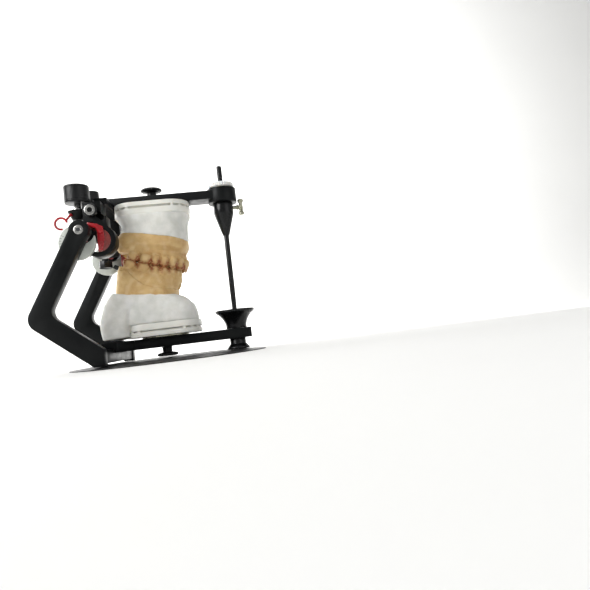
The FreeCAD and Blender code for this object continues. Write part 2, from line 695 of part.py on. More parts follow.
def make_condyle(name, side, turn):
    """A steel stud through the arm's head with the condyle ball on its inner end."""
    inner = s.arm_inner - ball_offset
    body = turned(f"condyle_{name}", [
        (0, 0),
        (s.stud_radius, 0),
        (s.stud_radius, inner),
        (s.stud_seat_radius, inner),
        (s.stud_seat_radius, inner + s.arm_thick - s.stud_recess),
        (0, inner + s.arm_thick - s.stud_recess),
    ])
    ball_sketch = body.newObject("Sketcher::SketchObject", f"condyle_{name}_ball")
    ball_sketch.AttachmentSupport = [(origin_plane(body, "XZ_Plane"), "")]
    ball_sketch.MapMode = "FlatFace"
    radius = s.ball_radius
    arc = Part.ArcOfCircle(Part.Circle(Vector(0, 0, 0), Vector(0, 0, 1), radius.value),
                           -math.pi / 2, math.pi / 2)
    ball_sketch.addGeometry(arc, False)
    chord = Part.LineSegment(Vector(0, radius.value, 0), Vector(0, -radius.value, 0))
    ball_sketch.addGeometry(chord, False)
    ball_sketch.addConstraint(Sketcher.Constraint("Coincident", 0, 3, -1, 1))
    ball_sketch.addConstraint(Sketcher.Constraint("Coincident", 0, 2, 1, 1))
    ball_sketch.addConstraint(Sketcher.Constraint("Coincident", 1, 2, 0, 1))
    ball_sketch.addConstraint(Sketcher.Constraint("PointOnObject", 0, 1, -2))
    ball_sketch.addConstraint(Sketcher.Constraint("PointOnObject", 0, 2, -2))
    index = ball_sketch.addConstraint(Sketcher.Constraint("Radius", 0, radius.value))
    ball_sketch.setExpression(f"Constraints[{index}]", radius.text)
    ball = body.newObject("PartDesign::Revolution", f"condyle_{name}_ball_turn")
    ball.Profile = ball_sketch
    ball.ReferenceAxis = (ball_sketch, ["V_Axis"])
    ball.Angle = 360
    body.Tip = ball
    place(body, s.axis_x, side * ball_offset, axis_z, turn)
    keep(body, f"condyle_{name}")


def make_condyle_screws():
    """Two socket screws, one in the outer end of each stud bore."""
    screws = []
    for name, side, turn in SIDES:
        seat = s.arm_inner + s.arm_thick - s.stud_recess
        head = cylinder(f"condyle_screw_head_{name}", s.stud_seat_radius, s.stud_recess + 0.4,
                        s.axis_x, side * seat, axis_z, turn)
        socket = hex_socket(f"condyle_screw_socket_{name}", s.screw_socket_radius, s.axis_x,
                            side * (seat + 1), axis_z, turn)
        screws.append(cut(f"condyle_screw_{name}", head, socket))
    keep(group("condyle_screw_pair", screws), "condyle_screws")


# Mounting hardware --------------------------------------------------------------------------

def make_knob(name, z, direction):
    """A mounting knob: dished grip, neck and a threaded stud that points into the bar."""
    reach = s.lower_bar_thick - 0.5 if direction > 0 else s.upper_bar_thick - 0.5
    body = turned(name, [
        (0, -reach),
        (s.knob_stud_radius, -reach),
        (s.knob_stud_radius, s.slack),
        (s.knob_neck_radius, s.slack),
        (s.knob_neck_radius, s.knob_neck * 0.6),
        (s.knob_radius - 1.2, s.knob_neck),
        (s.knob_radius, s.knob_neck + 1),
        (s.knob_radius, s.knob_neck + s.knob_grip - 1),
        (s.knob_radius - 1, s.knob_neck + s.knob_grip),
        (0, s.knob_neck + s.knob_grip),
    ])
    turn = Rotation(Vector(1, 0, 0), 180) if direction > 0 else Rotation()
    place(body, s.mount_x, 0, z, turn)
    keep(body, name)


def rounded_plate(name, z, thick):
    """A rounded-square mounting plate."""
    body = padded(name, "XY_Plane", [
        (-s.mount_half_x, -s.mount_half_y),
        (s.mount_half_x, -s.mount_half_y),
        (s.mount_half_x, s.mount_half_y),
        (-s.mount_half_x, s.mount_half_y),
    ], thick)
    round_edges(body, "corners", s.mount_corner, is_upright)
    place(body, s.mount_x, 0, z)
    return body


def make_mount(level, seat, direction):
    """Keeper, magnet and the two split-cast plates on one bar's seat face.

    Returns the height of the counter plate's outer face, where the plaster starts.
    """
    keeper_far = seat + direction * s.holder_thick
    base_far = keeper_far + direction * s.base_plate_thick
    counter_near = base_far + direction * s.split_gap
    counter_far = counter_near + direction * s.counter_plate_thick
    turn = Rotation() if direction > 0 else Rotation(Vector(1, 0, 0), 180)
    keeper = turned(f"{level}_holder", [
        (s.knob_stud_radius + s.slack, 0),
        (s.holder_radius, 0),
        (s.holder_radius, s.holder_thick),
        (s.knob_stud_radius + s.slack, s.holder_thick),
    ])
    place(keeper, s.mount_x, 0, seat, turn)
    keep(keeper, f"{level}_holder")
    magnet = turned(f"{level}_magnet", [
        (0, 0), (s.magnet_radius, 0), (s.magnet_radius, s.magnet_thick), (0, s.magnet_thick),
    ])
    place(magnet, s.mount_x, 0, keeper_far, turn)
    keep(magnet, f"{level}_magnet")
    base = rounded_plate(f"{level}_base_plate", keeper_far if direction > 0 else base_far,
                         s.base_plate_thick)
    pocket = body_pocket(base, "magnet_seat", s.magnet_radius + s.stud_fit, s.magnet_thick,
                         direction > 0, s.base_plate_thick)
    base.Tip = pocket
    keep(base, f"{level}_base_plate")
    counter = rounded_plate(f"{level}_counter_plate",
                            counter_near if direction > 0 else counter_far, s.counter_plate_thick)
    body_ridge(counter, s.counter_plate_thick, direction > 0)
    keep(counter, f"{level}_counter_plate")
    return counter_far


def body_pocket(body, name, radius, depth, from_below, thick):
    """A round blind seat in a plate's lower or upper face."""
    sketch = circle_sketch(body, "XY_Plane", 0, 0, radius, name)
    pocket = body.newObject("PartDesign::Pocket", f"{body.Name}_{name}_cut")
    pocket.Profile = sketch
    bind(pocket, "Length", depth)
    if from_below:
        pocket.Reversed = True
    else:
        bind(sketch, "AttachmentOffset.Base.z", thick)
    return pocket


def body_ridge(body, thick, from_below):
    """A round centring ridge that bridges the parting gap to the base plate."""
    sketch = circle_sketch(body, "XY_Plane", 0, 0, s.holder_radius, "ridge")
    pad = body.newObject("PartDesign::Pad", f"{body.Name}_ridge_pad")
    pad.Profile = sketch
    bind(pad, "Length", s.split_gap)
    if from_below:
        pad.Reversed = True
    else:
        bind(sketch, "AttachmentOffset.Base.z", thick)
    body.Tip = pad


def side_profile(name, outline):
    """A profile in the side view, extruded past both sides of the middle plane."""
    half = plaster_half + 5
    body = padded(name, "XZ_Plane", outline, half * 2)
    place(body, 0, half, 0)
    return body


def plan_block(name, half, rear, z_low, z_high):
    """A block with trimmed rear corners, straight sides and a half-round front, from above."""
    rear_half = half - (s.cast_corner - rear) * s.cast_trim
    tall = z_high - z_low
    straight = padded(f"{name}_straight", "XY_Plane", [
        (s.cast_centre, -half),
        (s.cast_centre, half),
        (s.cast_corner, half),
        (rear, rear_half),
        (rear, -rear_half),
        (s.cast_corner, -half),
    ], tall)
    place(straight, 0, 0, z_low)
    front = cylinder(f"{name}_front", half, tall, s.cast_centre, 0, z_low)
    return fuse(f"{name}_plan", straight, front)


def make_block(name, half, rear, outline, z_low, z_high):
    """A cast or plaster mount: the plan block cut to its side profile."""
    plan = plan_block(name, half, as_size(rear), as_size(z_low), as_size(z_high))
    keep(common(f"{name}_block", plan, side_profile(f"{name}_side", outline)), name)


def make_casts(lower_face, upper_face):
    """Plaster mounts and stone casts, parted along the sloping occlusal plane.

    The side profiles run from the cast's front edge round to its rear. A plaster mount's
    corners stand at shares of the height between its plate and its cast.
    """
    front_z = upper_seat - s.bite_front_drop
    rear_z = upper_seat - s.bite_rear_drop
    low_front_z = front_z - s.bite_gap
    low_rear_z = rear_z - s.bite_gap
    base_front_z = front_z - s.lower_cast_tall
    base_rear_z = base_front_z + s.lower_base_slope
    roof_front_z = front_z + s.upper_cast_front_tall
    roof_rear_z = rear_z + s.upper_cast_rear_tall
    low_rise = base_front_z - lower_face
    high_rise = upper_face - roof_rear_z

    make_block("lower_plaster", plaster_half, -58, [
        (-50, lower_face),
        (29, lower_face),
        (25.5, lower_face + low_rise * 0.6),
        (17, lower_face + low_rise * 0.79),
        (12.5, base_front_z),
        (-43, base_rear_z),
        (-50, lower_face + low_rise * 0.97),
        (-58, lower_face + low_rise * 0.32),
        (-56, lower_face + low_rise * 0.06),
    ], lower_face, base_rear_z + 5)
    make_block("lower_cast", cast_half, -43, [
        (12.5, base_front_z),
        (19, low_front_z - 8),
        (s.bite_front - 4, low_front_z + 1),
        (s.bite_rear, low_rear_z),
        (-41, low_rear_z - 2.4),
        (-43, base_rear_z),
    ], base_front_z - 6, rear_z + 5)
    make_block("upper_plaster", plaster_half, -38, [
        (27.5, roof_front_z),
        (28.3, roof_rear_z + high_rise * 0.12),
        (31, upper_face),
        (-36, upper_face),
        (-33.5, roof_rear_z + high_rise * 0.8),
        (-33, roof_rear_z),
    ], roof_front_z - 5, upper_face)
    make_block("upper_cast", cast_half, -41, [
        (s.bite_front, front_z),
        (s.bite_front - 1.3, front_z + 13.7),
        (s.bite_front + 2.5, front_z + 19.7),
        (27.5, roof_front_z),
        (-33, roof_rear_z),
        (-40, rear_z + 15),
        (s.bite_rear, rear_z),
    ], front_z - 5, roof_rear_z + 5)


# Incisal table ------------------------------------------------------------------------------

def make_table_post():
    """The flared post under the bar, with a spigot through the bar into the table."""
    body = turned("table_post", [
        (0, 0),
        (s.post_foot_radius, 0),
        (s.post_foot_radius, 1.8),
        (s.post_radius, 5.2),
        (s.post_radius, bar_bottom - s.plate_thick),
        (s.post_spigot_radius, bar_bottom - s.plate_thick),
        (s.post_spigot_radius, bar_top - s.plate_thick + s.post_spigot),
        (0, bar_top - s.plate_thick + s.post_spigot),
    ])
    place(body, s.pin_x, 0, s.plate_thick)
    keep(body, "table_post")


def make_incisal_table():
    """The flared cup that the pin stands in; it turns on the post's spigot."""
    bore = s.post_spigot_radius + s.stud_fit
    rim = s.table_rim_radius
    low = s.slack
    waist = s.table_foot_radius
    flare = rim - waist
    body = turned("incisal_table", [
        (0, s.post_spigot + s.slack),
        (bore, s.post_spigot + s.slack),
        (bore, low),
        (waist, low),
        (waist, 3.6),
        (waist + flare * 0.12, 7.2),
        (waist + flare * 0.32, 10.6),
        (waist + flare * 0.6, 13.6),
        (rim - 0.8, s.table_tall - s.table_lip),
        (rim, s.table_tall - s.table_lip + 0.8),
        (rim, s.table_tall),
        (rim - 1.8, s.table_tall),
        (rim - 3.4, s.table_tall - s.table_dish * 0.6),
        (rim - 9, s.table_tall - s.table_dish),
        (0, s.table_tall - s.table_dish),
    ])
    place(body, s.pin_x, 0, bar_top)
    keep(body, "incisal_table")


# Upper frame --------------------------------------------------------------------------------

upper_screw_x = (s.upper_bar_rear + upper_beam_front) / 2
upper_screw_places = [(upper_screw_x, -s.upper_screw_offset), (upper_screw_x, s.upper_screw_offset)]


def make_upper_bar():
    """The upper bar with its round pin boss, bored for the pin and the knob."""
    bar = box("upper_bar_flat", (s.upper_bar_rear, s.pin_x), (-s.upper_bar_half, s.upper_bar_half),
              (upper_seat, upper_bar_top))
    boss = cylinder("upper_boss", s.boss_radius, boss_top - boss_bottom, s.pin_x, 0,
                    boss_bottom)
    pin_hole = cylinder("upper_pin_hole", s.pin_radius + s.stud_fit, THROUGH, s.pin_x, 0,
                        boss_bottom - CLEAR_PAST)
    spigot_hole = cylinder("upper_spigot_hole", s.sleeve_spigot_radius + s.stud_fit,
                           s.sleeve_spigot + CLEAR_PAST, s.pin_x, 0,
                           boss_bottom - CLEAR_PAST)
    knob_hole = cylinder("upper_knob_hole", s.knob_stud_radius + s.stud_fit, THROUGH, s.mount_x, 0,
                         upper_seat - CLEAR_PAST)
    screws = [cylinder(f"upper_bar_hole{i}", s.screw_radius, THROUGH, x, y, upper_seat - CLEAR_PAST)
              for i, (x, y) in enumerate(upper_screw_places)]
    seats = [cylinder(f"upper_bar_seat{i}", s.screw_head_radius, DEEP, x, y,
                      upper_bar_top - screw_seat) for i, (x, y) in enumerate(upper_screw_places)]
    keep(cut("upper_bar_cut", fuse("upper_bar_blank", bar, boss), pin_hole, spigot_hole,
             knob_hole, *screws, *seats), "upper_bar")


def make_upper_crossbeam():
    """The upper crossbeam: a bar across with two ears and a rear lug for the centre knob."""
    beam = box("upper_beam_main", (s.upper_beam_rear, upper_beam_front),
               (-upper_beam_half, upper_beam_half),
               (upper_beam_bottom, upper_bar_top - s.upper_beam_step))
    notch = box("upper_beam_notch", (s.upper_bar_rear, upper_beam_front + PAST),
                (-s.upper_bar_half, s.upper_bar_half), (upper_seat, upper_bar_top + PAST))
    lug = box("upper_beam_lug", (s.centre_x - s.lug_overhang, s.upper_beam_rear + PAST),
              (-s.lug_half, s.lug_half), (upper_beam_bottom + 2, upper_bar_top))
    pieces = [beam, lug]
    holes = [notch]
    for i, (x, y) in enumerate(upper_screw_places):
        holes.append(cylinder(f"upper_beam_hole{i}", s.screw_radius, 8, x, y, upper_seat - 3))
    holes.append(cylinder("upper_beam_centre_hole", s.screw_radius + s.stud_fit, 20, s.centre_x,
                          0, upper_bar_top - 8))
    for name, side, turn in SIDES:
        span = outward(side, upper_beam_half - s.ear_thick, upper_beam_half)
        pieces.append(box(f"ear_{name}", (s.axis_x + s.ear_rear, s.axis_x + s.ear_front), span,
                          (axis_z + s.ear_rise, upper_beam_bottom + PAST)))
        holes.append(cylinder(f"ear_hole_{name}", s.side_radius + s.stud_fit, 8, side_x(),
                              side * (upper_beam_half - 7), side_z(), turn))
    keep(cut("upper_beam_cut", fuse("upper_beam_blank", *pieces), *holes), "upper_crossbeam")


def side_x():
    """Position of the side screw, on the clamp slot's radius about the condylar axis."""
    angle = s.slot_angle
    return s.axis_x + s.slot_radius * Size(math.cos(math.radians(angle.value)), f"cos({angle.text})")


def side_z():
    """Height of the side screw."""
    angle = s.slot_angle
    return axis_z + s.slot_radius * Size(math.sin(math.radians(angle.value)), f"sin({angle.text})")


def make_upper_screws():
    """Two socket screws that hold the bar down on the crossbeam."""
    screws = []
    for i, (x, y) in enumerate(upper_screw_places):
        head_z = upper_bar_top - screw_seat
        shank = cylinder(f"upper_screw_shank{i}", s.screw_radius, screw_seat + 2, x, y,
                         upper_seat - 2)
        head = cylinder(f"upper_screw_head{i}", s.screw_head_radius, screw_seat - HEAD_BELOW, x, y, head_z)
        socket = hex_socket(f"upper_screw_socket{i}", s.screw_socket_radius, x, y,
                            upper_bar_top - SOCKET_DEPTH, None)
        screws.append(cut(f"upper_screw{i}", fuse(f"upper_screw_blank{i}", shank, head), socket))
    keep(group("upper_screws", screws), "upper_bar_screws")


def make_guide_sleeve():
    """Barrel and cone that guide the pin, with a spigot in the boss and a lock screw hole."""
    bore = s.pin_radius + s.stud_fit
    body = turned("guide_sleeve", [
        (bore, s.sleeve_spigot),
        (s.sleeve_spigot_radius, s.sleeve_spigot),
        (s.sleeve_spigot_radius, 0),
        (s.sleeve_radius, 0),
        (s.sleeve_radius, -s.sleeve_barrel),
        (s.sleeve_tip_radius, -(s.sleeve_barrel + s.sleeve_cone)),
        (bore, -(s.sleeve_barrel + s.sleeve_cone)),
    ])
    sketch = circle_sketch(body, "YZ_Plane", 0, lock_height - boss_bottom,
                           s.lock_radius + s.stud_fit, "lock_hole")
    pocket = body.newObject("PartDesign::Pocket", "guide_sleeve_lock_hole_cut")
    pocket.Profile = sketch
    pocket.Reversed = True
    bind(pocket, "Length", s.sleeve_radius + 5)
    body.Tip = pocket
    place(body, s.pin_x, 0, boss_bottom)
    keep(body, "guide_sleeve")


def make_pin():
    """The incisal pin, one straight rod with a tapered foot."""
    pin_top = boss_top + s.pin_rise
    body = turned("incisal_pin", [
        (0, pin_foot),
        (pin_foot_radius - 0.6, pin_foot),
        (pin_foot_radius, pin_foot + 1),
        (pin_foot_radius, pin_foot + 6),
        (s.pin_radius, pin_foot + s.pin_taper),
        (s.pin_radius, pin_top - CHAMFER),
        (s.pin_radius - CHAMFER, pin_top),
        (0, pin_top),
    ])
    place(body, s.pin_x, 0, 0)
    keep(body, "incisal_pin")


def make_collar():
    """The white collar on the boss that the pin passes through."""
    body = turned("pin_collar", [
        (s.pin_radius + s.slack, s.slack),
        (s.collar_radius - 0.8, s.slack),
        (s.collar_radius, s.slack + 0.8),
        (s.collar_radius, s.slack + s.collar_thick - 0.8),
        (s.collar_radius - 0.8, s.slack + s.collar_thick),
        (s.pin_radius + s.slack, s.slack + s.collar_thick),
    ])
    place(body, s.pin_x, 0, boss_top)
    keep(body, "pin_collar")


def make_lock_screw():
    """The pin lock screw: shank along X with a wing bar across its end."""
    inner = s.pin_radius + s.slack
    length = s.sleeve_radius + s.lock_reach - inner
    shank = cylinder("lock_shank", s.lock_radius, length, s.pin_x + inner, 0, lock_height, ALONG_X)
    wing_x = s.pin_x + s.sleeve_radius + s.lock_reach + s.lock_wing_radius - 0.6
    wing = cylinder("lock_wing", s.lock_wing_radius, s.lock_wing_half * 2, wing_x, 0,
                    lock_height - s.lock_wing_half)
    keep(fuse("lock_screw", shank, wing), "pin_lock_screw")


def make_centre_knob():
    """The small knob on the crossbeam's rear lug."""
    body = turned("centre_knob", [
        (0, -6),
        (s.screw_radius, -6),
        (s.screw_radius, s.slack),
        (s.centre_radius - 0.8, s.slack),
        (s.centre_radius, s.slack + 0.8),
        (s.centre_radius, s.centre_tall - 0.8),
        (s.centre_radius - 0.8, s.centre_tall),
        (0, s.centre_tall),
    ])
    place(body, s.centre_x, 0, upper_bar_top)
    keep(body, "centre_knob")


# Condylar joints ----------------------------------------------------------------------------

def sector_shape(centre, inner, outer, start, end, y_span):
    """A ring sector in the side view, from start to end degrees, as a solid."""
    y_low, y_high = y_span[0].value, y_span[1].value
    base = Vector(centre[0].value, y_high, centre[1].value)
    ring = Part.makeCylinder(outer, y_high - y_low, base, Vector(0, -1, 0))
    if inner > 0:
        ring = ring.cut(Part.makeCylinder(inner, y_high - y_low, base, Vector(0, -1, 0)))
    if end - start >= 360:
        return ring
    reach = outer * 3
    steps = 8
    corners = [Vector(base.x, y_high, base.z)]
    for i in range(steps + 1):
        angle = math.radians(start + (end - start) * i / steps)
        corners.append(base + Vector(math.cos(angle) * reach, 0, math.sin(angle) * reach))
    face = Part.Face(Part.makePolygon(corners + corners[:1]))
    wedge = face.extrude(Vector(0, y_low - y_high, 0))
    return ring.common(wedge)


def span_box(x_low, x_high, y_span, z_low, z_high):
    """A box shape between two corners, from Sizes or numbers."""
    xs = (as_size(x_low).value, as_size(x_high).value)
    ys = (y_span[0].value, y_span[1].value)
    zs = (as_size(z_low).value, as_size(z_high).value)
    return Part.makeBox(xs[1] - xs[0], ys[1] - ys[0], zs[1] - zs[0], Vector(xs[0], ys[0], zs[0]))


def feature(label, shape):
    """A Part feature that holds a shape worked out from the sheet."""
    solid = doc.addObject("Part::Feature", label)
    solid.Shape = shape
    solid.Placement = Placement()
    return keep(solid, label)


def slot_shape(y_span):
    """The clamp slot: an arc about the condylar axis with round ends."""
    start = s.slot_angle.value - s.slot_sweep.value
    end = s.slot_angle.value
    half = s.side_radius.value + s.stud_fit.value
    mid = s.slot_radius.value
    axis = (s.axis_x, axis_z)
    shape = sector_shape(axis, mid - half, mid + half, start, end, y_span)
    for angle in (start, end):
        centre = Vector(axis[0].value + mid * math.cos(math.radians(angle)), y_span[1].value,
                        axis[1].value + mid * math.sin(math.radians(angle)))
        length = y_span[1].value - y_span[0].value
        shape = shape.fuse(Part.makeCylinder(half, length, centre, Vector(0, -1, 0)))
    return shape


def make_housing(name, side):
    """Open ring below a slotted block, with a cheek inside and a conical lug for the knob."""
    y_span = outward(side, housing_inner, housing_outer)
    through = (y_span[0] - 1, y_span[1] + 1)
    ring = sector_shape((ring_x, ring_z), (s.ring_radius - s.ring_band).value,
                        s.ring_radius.value, s.ring_start.value, s.ring_end.value, y_span)
    block = span_box(s.axis_x + s.block_rear, block_front, y_span, block_bottom,
                     upper_beam_bottom - s.block_gap)
    web = span_box(s.axis_x + s.web_rear, block_front + s.web_nose, y_span,
                   block_bottom - s.web_depth, block_bottom + 4)
    hollow = sector_shape((ring_x, ring_z), 0, (s.ring_radius - s.ring_band).value, 0, 360, through)
    cheek_span = outward(side, housing_inner, housing_inner + s.cheek_thick)
    cheek = span_box(s.axis_x - s.cheek_rear, s.axis_x + s.cheek_front, cheek_span,
                     axis_z - s.cheek_drop, block_bottom + 2)
    stem_lug = span_box(shift_x - s.shift_lug_half, shift_x + s.shift_lug_half, cheek_span,
                        shift_top + s.slack, axis_z - s.cheek_drop + 1.6)
    lug = Part.makeCone(s.lug_low_radius.value, s.lug_radius.value, s.lug_tall.value,
                        Vector(lug_x.value, side * lug_offset.value, lug_bottom.value))
    bridge = span_box(lug_x, s.axis_x + s.block_rear + 2, outward(side, lug_offset - 4, lug_offset + 4),
                      lug_bottom, lug_top)
    body = ring.fuse([block, web.cut(hollow), cheek, stem_lug, lug, bridge])
    stem = Part.makeCylinder((s.clamp_stem_radius + s.stud_fit).value, (s.clamp_reach + 1).value,
                             Vector(lug_x.value, side * lug_offset.value,
                                    (lug_top - s.clamp_reach - 0.5).value))
    shift_stem = Part.makeCylinder((s.screw_radius / 2 + s.stud_fit).value, 4,
                                   Vector(shift_x.value, side * shift_offset.value, shift_top.value))
    pivot_start, pivot_length = lever_pivot(side)
    pivot_hole = Part.makeCylinder((s.lever_wire + s.lever_fit).value, pivot_length + 1,
                                   pivot_start - Vector(0, side * 0.5, 0), Vector(0, side, 0))
    body = body.cut([slot_shape(through), stem, shift_stem, pivot_hole])
    feature(f"housing_{name}", body.removeSplitter())


def make_fossa_insert(name, side):
    """The red insert: a sloping roof over the ball and a curved wall in front of it."""
    y_span = outward(side, housing_inner + s.cheek_thick + s.slack, housing_outer - s.slack)
    inner = (s.ring_radius - s.ring_band).value
    disc = sector_shape((ring_x, ring_z), 0, inner, 0, 360, y_span)
    wall = disc.common(span_box(s.axis_x + s.insert_face, ring_x + inner, y_span,
                                ring_z - inner, ring_z + inner))
    lift = s.ball_radius + s.roof_gap
    roof = Part.makeBox(s.roof_length.value, (y_span[1] - y_span[0]).value, s.roof_thick.value,
                        Vector(-s.roof_tail.value, y_span[0].value, lift.value))
    roof.rotate(Vector(0, 0, 0), Vector(0, 1, 0), s.roof_angle.value)
    roof.translate(Vector(s.axis_x.value, 0, axis_z.value))
    housing = doc.getObject(f"housing_{name}").Shape
    ball_way = sector_shape((s.axis_x, axis_z), 0, lift.value, 0, 360, y_span)
    body = wall.fuse(roof).cut([housing, ball_way]).removeSplitter()
    feature(f"fossa_insert_{name}", body)


def make_scale_dial(name, side):
    """The white crescent dial on the housing's outer face, notched round the condyle."""
    y_span = outward(side, housing_outer, housing_outer + s.dial_thick)
    centre = (s.axis_x - s.dial_behind, axis_z - s.dial_drop)
    disc = sector_shape(centre, 0, s.dial_radius.value, 0, 360, y_span)
    notch = sector_shape((s.axis_x, axis_z), 0, s.dial_notch.value, 0, 360,
                         (y_span[0] - 1, y_span[1] + 1))
    opening = span_box(s.axis_x - 4, s.axis_x + 30, (y_span[0] - 1, y_span[1] + 1),
                       axis_z, axis_z + 30)
    feature(f"scale_dial_{name}", disc.cut([notch, opening]).removeSplitter())


def make_retainer(name, side):
    """A clip that follows the ball's rear and underside."""
    y_span = outward(side, ball_offset - s.retainer_half, housing_outer - s.slack)
    clip = sector_shape((s.axis_x, axis_z), (s.ball_radius + s.retainer_gap).value,
                        (s.ball_radius + s.retainer_gap + s.retainer_thick).value,
                        s.retainer_start.value, s.retainer_end.value, y_span)
    feature(f"ball_retainer_{name}", clip)


def lever_pivot(side):
    """Centre of the lever's pivot where it starts inside the lug, and its length outwards."""
    start = Vector((lug_x - s.lever_pivot).value, side * (lug_offset + s.lever_grip).value,
                   (lug_bottom + s.lever_pivot_rise).value)
    return start, (s.lever_offset - s.lever_grip).value


def make_lock_lever(name, side):
    """The red wire loop: its straight end turns in a hole in the side of the housing lug."""
    wire = s.lever_wire.value
    radius = s.lever_radius.value
    start, length = lever_pivot(side)
    corner = start + Vector(0, side * length, 0)
    centre = Vector((s.axis_x - s.lever_behind).value, corner.y, (axis_z + s.lever_rise).value)
    loop = Part.makeTorus(radius, wire, centre, Vector(0, 1, 0))
    gap = Part.makeBox(radius + 3, wire * 4, radius + 3,
                       centre + Vector(wire, -wire * 2, -radius - wire * 2.4))
    stem_start = centre + Vector(radius * 0.88, 0, radius * 0.48)
    run = corner - stem_start
    stem = Part.makeCylinder(wire, run.Length, stem_start, run)
    pivot = Part.makeCylinder(wire, length, start, Vector(0, side, 0))
    lever = loop.cut(gap).fuse([stem, pivot, Part.makeSphere(wire, corner)]).removeSplitter()
    feature(f"lock_lever_{name}", max(lever.Solids, key=lambda solid: solid.Volume))


def make_clamp_knob(name, side):
    """The large black knob on a steel stem above the housing lug."""
    knob = turned(f"clamp_knob_{name}", [
        (0, 0),
        (s.clamp_radius - 0.8, 0),
        (s.clamp_radius, 0.8),
        (s.clamp_radius, s.clamp_grip - 0.8),
        (s.clamp_radius - 0.8, s.clamp_grip),
        (0, s.clamp_grip),
    ])
    place(knob, lug_x, side * lug_offset, lug_top + s.clamp_neck)
    keep(knob, f"clamp_knob_{name}")
    stem = turned(f"clamp_stem_{name}", [
        (0, -s.clamp_reach),
        (s.clamp_stem_radius, -s.clamp_reach),
        (s.clamp_stem_radius, s.slack),
        (s.clamp_stem_radius + s.clamp_flange, s.slack),
        (s.clamp_stem_radius + s.clamp_flange, s.slack + 1.6),
        (s.clamp_stem_radius, s.slack + 1.6),
        (s.clamp_stem_radius, s.clamp_neck),
        (0, s.clamp_neck),
    ])
    place(stem, lug_x, side * lug_offset, lug_top)
    keep(stem, f"clamp_stem_{name}")


def make_side_screw(name, side, turn):
    """The clamp screw through the housing's slot into the crossbeam's ear."""
    reach = housing_outer + s.slack - (upper_beam_half - 6)
    body = turned(f"side_screw_{name}", [
        (0, 0),
        (s.side_radius, 0),
        (s.side_radius, reach),
        (s.side_head_radius, reach),
        (s.side_head_radius, reach + s.side_head - 0.6),
        (s.side_head_radius - 0.6, reach + s.side_head),
        (2.2, reach + s.side_head),
        (2.2, reach + 1),
        (0, reach + 1),
    ])
    place(body, side_x(), side * (upper_beam_half - 6), side_z(), turn)
    keep(body, f"side_screw_{name}")


def make_shift_knob(name, side):
    """The eight-sided shift knob under the housing's cheek."""
    grip = doc.addObject("Part::Prism", f"shift_grip_{name}")
    grip.Polygon = 8
    bind(grip, "Circumradius", s.shift_radius)
    bind(grip, "Height", s.shift_tall)
    place(grip, shift_x, side * shift_offset, shift_top - s.shift_tall)
    stem = cylinder(f"shift_stem_{name}", s.screw_radius / 2, 3, shift_x, side * shift_offset,
                    shift_top)
    keep(fuse(f"shift_knob_{name}_solid", grip, stem), f"shift_knob_{name}")


make_carrier_plate()
make_lower_bar()
make_lower_crossbeam()
make_lower_screws()
make_arm_dowels()
make_condyle_screws()
make_table_post()
make_incisal_table()
make_knob("lower_knob", bar_bottom, 1)
make_knob("upper_knob", upper_bar_top, -1)
make_casts(make_mount("lower", bar_top, 1), make_mount("upper", upper_seat, -1))
make_upper_bar()
make_upper_crossbeam()
make_upper_screws()
make_guide_sleeve()
make_pin()
make_collar()
make_lock_screw()
make_centre_knob()
for side_name, side_sign, side_turn in SIDES:
    make_arm(side_name, side_sign)
    make_condyle(side_name, side_sign, side_turn)
    make_housing(side_name, side_sign)
    make_fossa_insert(side_name, side_sign)
    make_scale_dial(side_name, side_sign)
    make_retainer(side_name, side_sign)
    make_lock_lever(side_name, side_sign)
    make_clamp_knob(side_name, side_sign)
    make_side_screw(side_name, side_sign, side_turn)
    make_shift_knob(side_name, side_sign)

doc.recompute()

for obj in doc.Objects:
    if "Invalid" in obj.State or "Error" in obj.State:
        raise RuntimeError(f"{obj.Name} did not build: {obj.State}")
for node in nodes:
    if node.Shape.isNull() or not node.Shape.isValid() or not node.Shape.Solids:
        raise RuntimeError(f"{node.Label} has no valid solid")

os.makedirs("parts", exist_ok=True)
for node in nodes:
    node.Shape.exportStep(f"parts/{node.Label}.step")
    print(f"{node.Label}: {len(node.Shape.Solids)} solid(s), {node.Shape.Volume:.0f} mm3")
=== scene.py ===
"""Looks of a dental articulator that carries a pair of mounted stone casts.

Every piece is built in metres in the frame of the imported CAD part: +X points to the incisal
pin, +Y to the articulator's left, +Z up. Sizes in this file are in millimetres.
"""

import json
import logging
import math
from dataclasses import dataclass, field
from enum import Enum
from functools import partial
from typing import Callable

import bmesh
import bpy
from mathutils import Matrix, Vector, noise


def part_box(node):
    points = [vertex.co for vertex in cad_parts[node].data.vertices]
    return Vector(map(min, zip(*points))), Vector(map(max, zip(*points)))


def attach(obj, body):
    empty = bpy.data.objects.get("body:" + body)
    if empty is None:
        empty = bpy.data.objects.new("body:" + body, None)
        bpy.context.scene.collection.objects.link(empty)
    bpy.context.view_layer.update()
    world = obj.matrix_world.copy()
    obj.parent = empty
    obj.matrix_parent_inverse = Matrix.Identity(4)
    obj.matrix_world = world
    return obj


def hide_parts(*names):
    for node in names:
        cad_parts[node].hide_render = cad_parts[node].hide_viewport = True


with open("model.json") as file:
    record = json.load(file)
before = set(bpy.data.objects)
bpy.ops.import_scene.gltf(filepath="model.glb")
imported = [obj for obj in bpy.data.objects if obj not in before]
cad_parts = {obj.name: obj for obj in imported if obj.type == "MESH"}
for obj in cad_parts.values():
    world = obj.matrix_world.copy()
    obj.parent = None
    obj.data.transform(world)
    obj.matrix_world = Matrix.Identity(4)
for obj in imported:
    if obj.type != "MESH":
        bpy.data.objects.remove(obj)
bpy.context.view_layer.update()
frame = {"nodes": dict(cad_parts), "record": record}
MM = 0.001
MICRON = 1e-6
QUARTER = math.pi / 2
log = logging.getLogger("articulator")

